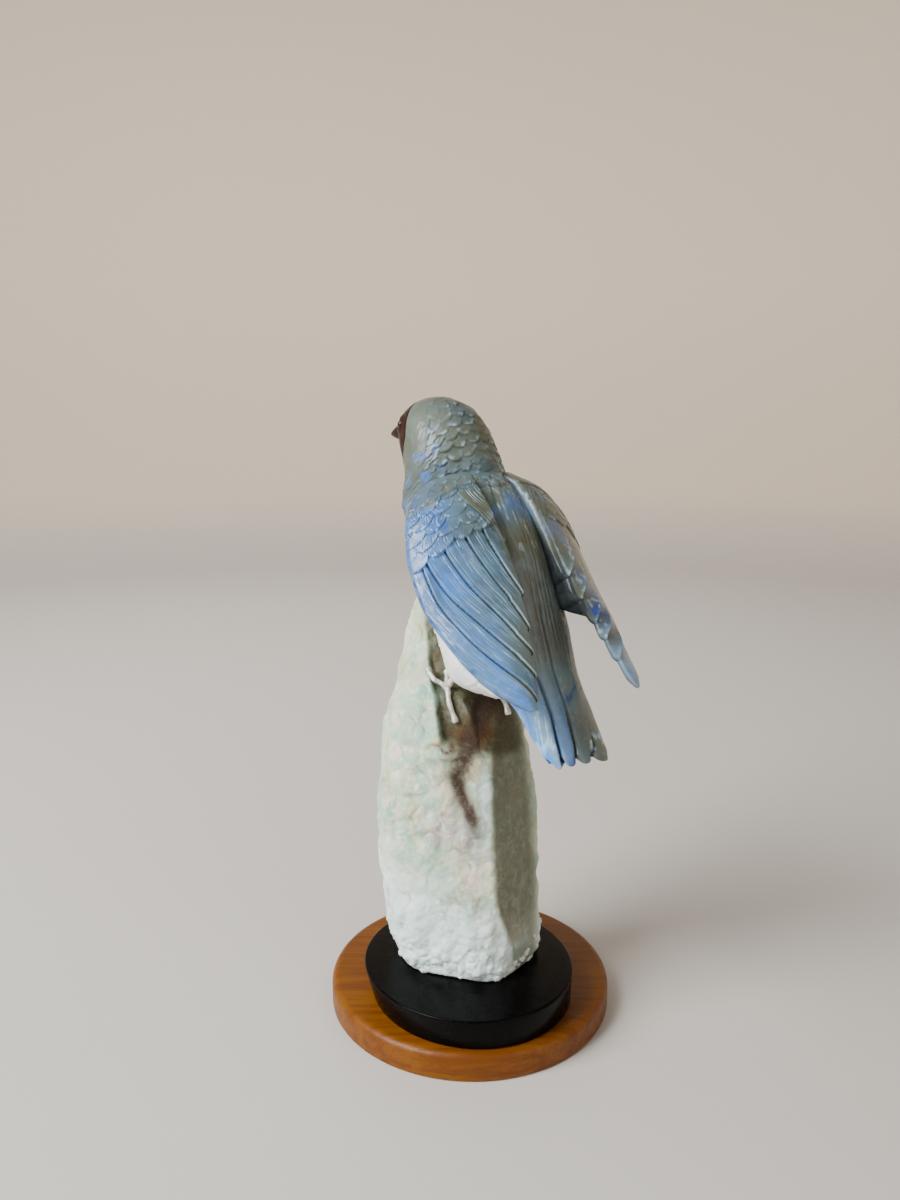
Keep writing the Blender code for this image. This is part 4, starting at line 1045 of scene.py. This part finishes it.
def makeRock():
    s = rockSettings
    h = (np.linspace(0, 1, s["rows"]) * s["outline"][-1][0])[:, None]
    angle = allRound(s["points"])
    turns = np.radians(np.arange(1, 361))
    sample = rockReach(turns)[:, None] * np.stack([np.cos(turns), np.sin(turns)], -1)
    low, high = sample.min(axis=0), sample.max(axis=0)
    x = (rockReach(angle) * np.cos(angle) - low[0]) / (high[0] - low[0])
    y = (rockReach(angle) * np.sin(angle) - low[1]) / (high[1] - low[1])
    left, right, front, back = (curve(h) for curve in rockCurves)
    points = np.broadcast_arrays(left + x * (right - left), front + y * (back - front), h + s["foot"])
    points = np.stack(points, -1)
    lit = fall(y, 0.30, 0.60) + 0 * h  # 1 on the side towards the camera
    across = points[..., 0]
    ridge = across - ridgeAt(h)
    shadedHollow = inHollow(across, h + 0 * angle) * lit * fall(h, 103, 114)
    push = -s["hollowDepth"] * shadedHollow * (1 - 0.8 * ramp(ridge, -3, 3))
    for cx, ch, wide, tall, depth in s["dents"]:
        push = push - depth * bell(across, cx, wide) * bell(h, ch, tall) * lit
    push = push + s["ridgeRise"] * bell(ridge, 0, 1.6) * lit * span(h, 10, 22, 76, 86)
    # broad broken blocks parted by creases, then lumps and crumbs; the split faces are smoother
    calm = 1 - 0.85 * np.clip(ramp(ridge, 0, 3) + shadedHollow, 0, 1) * lit
    warped = points + 3.4 * np.stack([cloud(points, 6.0, 3 + k) for k in range(3)], -1)
    blocks = pebbles(warped * np.array([1, 1, 0.7]), 12.0, 7)
    lumps, crumbs = pebbles(warped, 4.6, 27), pebbles(points, 2.0, 17)
    footZone = fall(h, 4, 20)
    rubble = patches(points, 10.0, 44, 0.0, 0.4) * 0.6 + footZone  # some stretches are crumbly, others smooth
    push = push + calm * (cloud(points, 13.0, 1) + 0.8 * cloud(points, 5.0, 2) + 1.5 * (blocks - 0.25))
    push = push + calm * ((0.5 + 1.0 * footZone) * (lumps - 0.22) + (0.15 + 0.45 * rubble) * (crumbs - 0.2))
    push = push + 0.14 * calm * cloud(points, 1.7, 6) + 0.05 * cloud(points, 0.9, 8)
    rings = pushOut(points, np.maximum(push * (0.2 + 0.8 * ramp(h, 0, 2.5)), -5.0))
    rings[..., 2] = np.maximum(rings[..., 2], s["foot"])
    rings = clearOfBody(rings, s["bodyRoom"])
    broken = patches(points, 8.0, 47, -0.1, 0.3)  # the creases come and go
    # painted shade in the creases between the blocks and lumps
    creaseShadeMask = (bell(blocks, 0, 0.05) * 0.7 + bell(lumps, 0, 0.05) * 0.3 * rubble) * calm * broken
    return ringPiece("perchRock", rings, rockColours(rings, lit, creaseShadeMask))


mineralSettings = {
    "mint": (0.43, 0.62, 0.46), "cream": (0.70, 0.70, 0.52),
    "white": (0.76, 0.90, 0.87), "grey": (0.42, 0.46, 0.42),
    # each stain's or painted shade's colour, the pattern that breaks it up, its range, and the share at either
    # end
    "stains": {
        "teal": ((0.16, 0.40, 0.32), "mottle", 0.42, 0.60, 0.0, 0.80),
        "lilac": ((0.33, 0.29, 0.32), "mottle", 0.35, 0.60, 0.10, 0.85),
        "ochre": ((0.52, 0.36, 0.12), "mottle", 0.40, 0.60, 0.05, 0.80),
        "blush": ((0.38, 0.22, 0.15), "mottle", 0.36, 0.58, 0.15, 0.85),
        "snow": ((0.78, 0.95, 0.97), "grain", 0.30, 0.55, 0.50, 0.97),
        # painted shade in the creases
        "creaseShade": ((0.16, 0.16, 0.11), "mottle", 0.35, 0.60, 0.30, 0.75),
        # the right face's olive-grey, with painted shade
        "rightFaceOliveShade": ((0.130, 0.135, 0.095), "mottle", 0.35, 0.70, 1.0, 0.86),
        # painted shade in the sunk face, over its dark olive
        "shadedHollow": ((0.048, 0.048, 0.020), "mottle", 0.38, 0.66, 1.0, 0.86),
        "rust": ((0.078, 0.031, 0.002), "fibre", 0.40, 0.66, 1.0, 0.74),
        "vein": ((0.026, 0.012, 0.004), "fibre", 0.42, 0.66, 1.0, 0.86),
    },
    "fixed": clouded(0.06, (1.0, 1.1, 1.0), 0.0008),
}


def makeMineral():
    s = mineralSettings
    rock = Finish("mintMineral")
    broad = rock.noise(12.0, 4.0, 0.6, 1.0)
    patterns = {
        "mottle": rock.noise(3.4, 4.0, 0.65, 0.6), "grain": rock.noise(0.9, 4.0, 0.7),
        "fibre": rock.noise(1.9, 3.0, 0.55, 0.8),
    }
    mottle, grain = patterns["mottle"], patterns["grain"]
    colour = rock.blend(rock.between(broad, 0.40, 0.58), s["cream"], s["mint"])
    colour = rock.blend(rock.between(mottle, 0.52, 0.68, 0.0, 0.75), colour, s["white"])
    colour = rock.blend(rock.between(mottle, 0.40, 0.28, 0.0, 0.60), colour, s["grey"])
    for stain, (tint, pattern, *reach) in s["stains"].items():
        colour = rock.blend(rock.mark(stain, rock.between(patterns[pattern], *reach)), colour, tint)
    relief = rock.bump(rock.cells(1.3), 0.07, rock.bump(grain, 0.16, rock.bump(mottle, 0.28)))
    return rock.done(colour, rock.between(grain, 0.3, 0.7, 0.58, 0.88), relief, s["fixed"])


rock = makeRock()
settle(rock, makeMineral(), "perch_rock")
print("rock broken out:", len(rock.data.polygons), "faces")


# geometry node helpers
def grow(tree, kind, sockets=None, **settings):  # adds a node and gives its first output
    family = "GeometryNode" if hasattr(bpy.types, "GeometryNode" + kind) else "ShaderNode"
    return put(tree, family + kind, sockets, **settings).outputs[0]


def newTree(name, inputs):  # an empty tree, and the outputs of its group input
    tree = bpy.data.node_groups.new(name, "GeometryNodeTree")
    for label, kind, value in (("Geometry", "Geometry", None), *inputs, ("Material", "Material", None)):
        socket = tree.interface.new_socket(label, in_out="INPUT", socket_type="NodeSocket" + kind)
        if value is not None:
            socket.default_value = value
    tree.interface.new_socket("Geometry", in_out="OUTPUT", socket_type="NodeSocketGeometry")
    return tree, tree.nodes.new("NodeGroupInput").outputs


def clad(tree, get, geometry):  # the last nodes of every tree
    real = grow(tree, "RealizeInstances", {"Geometry": geometry})
    dressed = grow(tree, "SetMaterial", {"Geometry": real, "Material": get["Material"]})
    put(tree, "NodeGroupOutput", {0: dressed})
    return tree


def bakedMesh(name, tree, values, source=None):  # runs the tree once and keeps the plain mesh
    holder = linked(name + "Source", source or bpy.data.meshes.new(name + "Source"))
    modifier = holder.modifiers.new("made", "NODES")
    modifier.node_group = tree
    for item in tree.interface.items_tree:
        if item.in_out == "INPUT" and item.name in values:
            modifier[item.identifier] = values[item.name]
    bpy.context.view_layer.update()
    graph = bpy.context.evaluated_depsgraph_get()
    mesh = bpy.data.meshes.new_from_object(holder.evaluated_get(graph))
    mesh.name = name
    bpy.data.objects.remove(holder)
    return mesh


# turned discs: the oak board and the black plinth
oakBoard = {
    "Radius": 0.05098, "Foot Radius": 0.05098, "Thickness": 0.0097, "Top Round": 0.0028, "Foot Round": 0.0009,
    "Ring Points": 176, "Oval": 1.0, "Turn": 0.0, "Centre": (0.0, 0.0, 0.0), "Foot Lean": (0.0, 0.0, 0.0),
}
honeyOak = {
    "fields": {
        "rings": (4.2, 2.0, 0.5, 1.2, (24, 0.05)), "fibre": (0.42, 3.0, 0.6, 0.2, (24, 0.035)),
        "tone": (30.0, 2.0, 0.5),
    },
    "base": (0.135, 0.037, 0.0010),
    "layers": (
        ("rings", 0.35, 0.62, 1.0, (0.188, 0.061, 0.002)), ("fibre", 0.50, 0.68, 0.55, (0.095, 0.025, 0.0008)),
        ("tone", 0.4, 0.7, 0.3, (0.120, 0.031, 0.0012)),
    ),
    "rough": ("fibre", 0.3, 0.7, 0.36, 0.52), "relief": ("fibre", 0.05), "fixed": polish(0.06, 0.25, 0.22),
}
blackPlinth = {
    "Radius": 0.0383, "Foot Radius": 0.0383 * 0.955, "Thickness": 0.011,
    "Top Round": 0.0007, "Foot Round": 0.0003, "Ring Points": 168,
"Oval": 0.0361 / 0.0383, "Turn": math.radians(-50), "Centre": (-0.001, -0.013, 0.010),
    "Foot Lean": (0.0012, 0.0004, 0.0),
}
blackStone = {
    "fields": {"dust": (16.0, 4.0, 0.6, 0.5), "grain": (0.8, 3.0, 0.6)}, "base": (0.0016, 0.0015, 0.0016),
    "layers": (
        ("grain", 0.60, 0.78, 1.0, (0.005, 0.005, 0.005)), ("dust", 0.55, 0.80, 0.35, (0.007, 0.0065, 0.006)),
    ),
    "rough": ("dust", 0.35, 0.70, 0.20, 0.36), "relief": ("grain", 0.012), "fixed": polish(0.0, 0.03, 0.06),
}


def turnedTree():
    tree, get = newTree("turnedDisc", (
        ("Radius", "Float", 0.05), ("Foot Radius", "Float", 0.05), ("Thickness", "Float", 0.01),
        ("Top Round", "Float", 0.002), ("Foot Round", "Float", 0.001), ("Ring Points", "Int", 160),
        ("Oval", "Float", 1.0), ("Turn", "Float", 0.0),
        ("Centre", "Vector", None), ("Foot Lean", "Vector", None),
    ))

    def corner(x, y):
        return grow(tree, "CombineXYZ", {"X": x, "Y": y})

    def switched(kind, values):  # one value for each corner of the profile
        node = put(tree, "GeometryNodeIndexSwitch", data_type=kind)
        while len(node.index_switch_items) < len(values):
            node.index_switch_items.new()
        feed(tree, node, {"Index": grow(tree, "InputIndex"), **dict(enumerate(values, 1))})
        return node.outputs[0]

    rim, foot = corner(get["Radius"], get["Thickness"]), corner(get["Foot Radius"], 0.0)
    corners = switched("VECTOR", [corner(0.0, get["Thickness"]), rim, foot, corner(0.0, 0.0)])
    rounds = switched("FLOAT", [0.0, get["Top Round"], get["Foot Round"], 0.0])
    line = grow(tree, "SetPosition", {"Geometry": grow(tree, "MeshLine", {"Count": 4}), "Position": corners})
    profile = grow(tree, "FilletCurve", {
        "Curve": grow(tree, "MeshToCurve", {"Mesh": line}), "Radius": rounds, "Count": 8, "Limit Radius": True,
    }, mode="POLY")
    path = grow(tree, "CurvePrimitiveCircle", {"Resolution": get["Ring Points"], "Radius": 0.00001})
    swept = grow(tree, "CurveToMesh", {"Curve": path, "Profile Curve": profile})
    merged = grow(tree, "MergeByDistance", {"Geometry": swept, "Distance": 0.00003})
    # the oval, its turn and the foot's lean
    stretch = grow(tree, "CombineXYZ", {"X": 1.0, "Y": get["Oval"], "Z": -1.0})
    oval = grow(tree, "VectorMath", {0: grow(tree, "InputPosition"), 1: stretch}, operation="MULTIPLY")
    turned = grow(tree, "VectorRotate", {"Vector": oval, "Angle": get["Turn"]}, rotation_type="Z_AXIS")
    height = put(tree, "ShaderNodeSeparateXYZ", {"Vector": oval}).outputs["Z"]
    share = grow(tree, "Math", {0: height, 1: get["Thickness"]}, operation="DIVIDE")
    under = grow(tree, "Math", {0: 1.0, 1: share}, operation="SUBTRACT")
    lean = grow(tree, "VectorMath", {0: get["Foot Lean"], "Scale": under}, operation="SCALE")
    shifted = grow(tree, "VectorMath", {0: turned, 1: lean}, operation="ADD")
    centred = grow(tree, "VectorMath", {0: shifted, 1: get["Centre"]}, operation="ADD")
    return clad(tree, get, grow(tree, "SetPosition", {"Geometry": merged, "Position": centred}))


turned = turnedTree()
for settings, name, node, slotName, finish in (
    (oakBoard, "oakBoard", "wood_base", "oak", layered("honeyOak", **honeyOak)),
    (blackPlinth, "blackPlinth", "black_plinth", "black_stone", layered("polishedBlackStone", **blackStone)),
):
    mesh = bakedMesh(name, turned, {**settings, "Material": finish})
    facingOut(mesh)
    mesh.shade_smooth()
    mesh.set_sharp_from_angle(angle=math.radians(45))
    settle(linked(name, mesh), finish, node)
print("board and plinth turned")

# white metal legs: swept bars through points laid on the rock
legSettings = {
    "hip": (47.0, -24.0, 9.0), "shin": 1.15, "toe": 1.05, "knuckle": 0.10, "bulb": 0.42, "gap": 0.25,
    # side, then the ankle and the ends of the toes on the bird's grid
    "feet": {
        "left_leg": (1, (42.5, -35.0, 12.6), ((28.7, -37.0, 12.3), (50.4, -39.8, 13.6), (47.0, -40.0, 7.0))),
        "right_leg": (-1, (38.5, -36.0, -6.0), ((27.0, -35.0, -7.0), (40.0, -46.0, -4.0), (36.0, -43.0, -13.0))),
    },
    "Sides": 16, "Voxel": 0.00022,
}
boneMetal = {
    "fields": {"tarnish": (1.6, 4.0, 0.65, 0.3), "fine": (0.35, 3.0, 0.6)}, "base": (0.46, 0.43, 0.38),
    "layers": (("tarnish", 0.35, 0.62, 1.0, (0.80, 0.77, 0.71)),),
    "rough": ("fine", 0.3, 0.7, 0.34, 0.52), "relief": ("fine", 0.05), "fixed": {"Metallic": 0.45},
}


def barTree():
    tree, get = newTree("castBars", (("Sides", "Int", 16), ("Voxel", "Float", 0.00022)))
    thick = grow(tree, "InputNamedAttribute", {"Name": "thick"}, data_type="FLOAT")
    curve = grow(tree, "MeshToCurve", {"Mesh": get["Geometry"]})
    sized = grow(tree, "SetCurveRadius", {"Curve": curve, "Radius": thick})
    ring = grow(tree, "CurvePrimitiveCircle", {"Resolution": get["Sides"], "Radius": 1.0})
    swept = put(tree, "GeometryNodeCurveToMesh", {"Curve": sized, "Profile Curve": ring, "Fill Caps": True})
    if "Scale" in swept.inputs:
        tree.links.new(thick, swept.inputs["Scale"])
    volume = grow(tree, "MeshToVolume", {
        "Mesh": swept.outputs[0], "Voxel Size": get["Voxel"], "Interior Band Width": 0.002,
    }, resolution_mode="VOXEL_SIZE")
    skinned = grow(tree, "VolumeToMesh", {"Volume": volume, "Threshold": 0.1}, resolution_mode="GRID")
    return clad(tree, get, skinned)


rockTree = BVHTree.FromObject(rock, bpy.context.evaluated_depsgraph_get())


def onRock(place, lift):  # nearest point of the rock to a place in the carving's frame, raised off it
    where, normal, *others = rockTree.find_nearest(Vector(np.asarray(place) * millimetre))
    return np.array(where) / millimetre + np.array(normal) * lift


def makeLeg(name, tree, metal):
    s = legSettings
    side, ankle, claws = s["feet"][name]
    lift = s["toe"] + s["gap"]
    foot = onRock(onBird(*ankle), lift)
    hip = onBird(s["hip"][0], s["hip"][1], s["hip"][2] * side)
    t = np.linspace(0.22, 1, 14)[:, None]  # the shin starts inside the body
    bars = [(hip * (1 - t) + foot * t, s["shin"] * (1.15 - 0.15 * t + 0.12 * np.sin(t * 9)))]
    for claw in claws:
        t = np.linspace(0, 1, 22)[:, None]
        path = np.array([onRock(point, lift) for point in foot * (1 - t) + onBird(*claw) * t])
        for _ in range(3):
            path[1:-1] = (path[:-2] + 2 * path[1:-1] + path[2:]) / 4
        knuckles = s["knuckle"] * np.sin(t * math.pi * 3) ** 2
        bars.append((path, s["toe"] * (1 + knuckles - 0.20 * t) + s["bulb"] * bell(t, 0.93, 0.10)))
    corners, edges = [], []
    for path, thick in bars:
        edges += [(len(corners) + k, len(corners) + k + 1) for k in range(len(path) - 1)]
        corners += (path * millimetre).tolist()
    thicks = np.concatenate([thick for path, thick in bars]).ravel() * millimetre
    source = bpy.data.meshes.new(name + "Path")
    source.from_pydata(corners, edges, [])
    source.attributes.new("thick", "FLOAT", "POINT").data.foreach_set("value", thicks)
    mesh = bakedMesh(name.replace("_l", "L"), tree, {**s, "Material": metal}, source)
    facingOut(mesh)
    mesh.shade_smooth()
    settle(linked(mesh.name, mesh), metal, name)
    return mesh


whiteMetal = layered("boneWhiteMetal", **boneMetal)
bars = barTree()
for legName in legSettings["feet"]:
    legMesh = makeLeg(legName, bars, whiteMetal)
print("legs cast:", len(legMesh.polygons), "faces")

# small crystals crusted on the rock's foot
crystalSettings = {"Density": 60000.0, "Least": 0.0005, "Most": 0.0017, "Flat": 0.45, "Reach": 0.033, "Seed": 11}
crystalStone = {
    "fields": {"tone": (2.5, 3.0, 0.6)}, "base": (0.62, 0.70, 0.66),
    "layers": (("tone", None, None, None, (0.90, 0.94, 0.93)),),
    "rough": ("tone", 0.3, 0.7, 0.35, 0.6), "fixed": clouded(0.10, (1.0, 1.1, 1.1), 0.0008),
}


def crystalTree():
    tree, get = newTree("footCrystals", (
        ("Density", "Float", 60000.0), ("Least", "Float", 0.0004), ("Most", "Float", 0.001),
        ("Flat", "Float", 0.5), ("Reach", "Float", 0.03), ("Seed", "Int", 1),
    ))
    height = put(tree, "ShaderNodeSeparateXYZ", {"Vector": grow(tree, "InputPosition")}).outputs["Z"]
    low = grow(tree, "MapRange", {
        "Value": height, "From Min": 0.0235, "From Max": get["Reach"], "To Min": 1.0, "To Max": 0.0,
    })
    density = grow(tree, "Math", {0: low, 1: get["Density"]}, operation="MULTIPLY")
    spread = put(tree, "GeometryNodeDistributePointsOnFaces", {
        "Mesh": get["Geometry"], "Density": density, "Seed": get["Seed"],
    }).outputs
    squash = grow(tree, "CombineXYZ", {"X": 1.0, "Y": 0.8, "Z": get["Flat"]})
    ball = grow(tree, "MeshIcoSphere", {"Radius": 1.0, "Subdivisions": 1})
    crystal = grow(tree, "Transform", {"Geometry": ball, "Scale": squash})
    sizes = {2: get["Least"], 3: get["Most"], "Seed": get["Seed"]}
    size = put(tree, "FunctionNodeRandomValue", sizes, data_type="FLOAT").outputs[1]
    return clad(tree, get, grow(tree, "InstanceOnPoints", {
        "Points": spread["Points"], "Instance": crystal, "Rotation": spread["Rotation"], "Scale": size,
    }))


whiteCrystal = layered("whiteCrystal", **crystalStone)
crystalInputs = {**crystalSettings, "Material": whiteCrystal}
crystalMesh = bakedMesh("footCrystals", crystalTree(), crystalInputs, rock.data.copy())
crystals = linked("footCrystals", crystalMesh)
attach(crystals, "root")
print("crystals grown:", len(crystalMesh.polygons), "faces")

# floor, light and camera
studio = {
    "floorColour": (0.60, 0.575, 0.54), "wallColour": (0.80, 0.69, 0.56),
    "paperRough": 0.6, "wallColourHeight": 120.0,
    "floorReach": 1.75, "sweep": 0.55, "sweepSteps": 12, "wallTop": 1.7, "sides": 96,
    # place, size, power and aim
    "lamps": {
        "windowLight": ((-0.72, -0.46, 0.70), 0.55, 23.0, (0.0, 0.0, 0.11)),
        "roomLight": ((0.8, -0.9, 0.6), 0.9, 3.2, (0.0, 0.0, 0.11)),
        "wallLight": ((-0.3, 0.35, 0.95), 0.6, 9.0, (0.0, 1.75, 0.45)),
    },
    "skyColour": (0.80, 0.79, 0.77), "skyPower": 0.26,
}
photoCamera = {"place": (-0.0073, -0.3094, 0.2018), "pitchDown": 9.79, "lens": 27.03, "sensor": 36.0}


def makeStage():  # a round floor that sweeps up into a wall on every side
    s = studio
    rows = [(0.02, 0.0), (s["floorReach"] - s["sweep"], 0.0)]
    for k in range(1, s["sweepSteps"] + 1):
        a = math.radians(90 * k / s["sweepSteps"])
        rows.append((s["floorReach"] - s["sweep"] * (1 - math.sin(a)), s["sweep"] * (1 - math.cos(a))))
    rows.append((s["floorReach"], s["wallTop"]))
    count = s["sides"]
    turns = allRound(count)[0]
    corners = [(far * math.cos(turn), far * math.sin(turn), high) for far, high in rows for turn in turns]
    faces = [tuple(range(count))]
    for below in range(0, count * (len(rows) - 1), count):
        for j in range(count):
            after = (j + 1) % count
            faces.append((below + j, below + after, below + count + after, below + count + j))
    mesh = bpy.data.meshes.new("studioSweep")
    mesh.from_pydata(corners, [], faces)
    mesh.shade_smooth()
    paper = Finish("palePaper")
    rise = paper.between(paper.put("SeparateXYZ", {0: paper.place}, output="Z"), 0.0, s["wallColourHeight"])
    colour = paper.blend(rise, s["floorColour"], s["wallColour"])
    mesh.materials.append(paper.done(colour, s["paperRough"], None, {}))
    sweep = linked("studioSweep", mesh)


makeStage()
for lampName, (place, size, power, aim) in studio["lamps"].items():
    light = bpy.data.lights.new(lampName, "AREA")
    light.size, light.energy = size, power
    lamp = linked(lampName, light)
    lamp.location = place
    lamp.rotation_euler = (Vector(aim) - Vector(place)).to_track_quat("-Z", "Y").to_euler()
world = bpy.data.worlds.new("softRoom")
world.use_nodes = True
skyLight = world.node_tree.nodes["Background"]
feed(world.node_tree, skyLight, {"Color": (*studio["skyColour"], 1.0), "Strength": studio["skyPower"]})
bpy.context.scene.world = world
lens = bpy.data.cameras.new("photoCamera")
lens.lens, lens.sensor_width, lens.clip_start = photoCamera["lens"], photoCamera["sensor"], 0.01
camera = linked("photoCamera", lens)
camera.location = photoCamera["place"]
camera.rotation_euler = (math.radians(90 - photoCamera["pitchDown"]), 0.0, 0.0)
bpy.context.scene.camera = camera
print("studio lit")
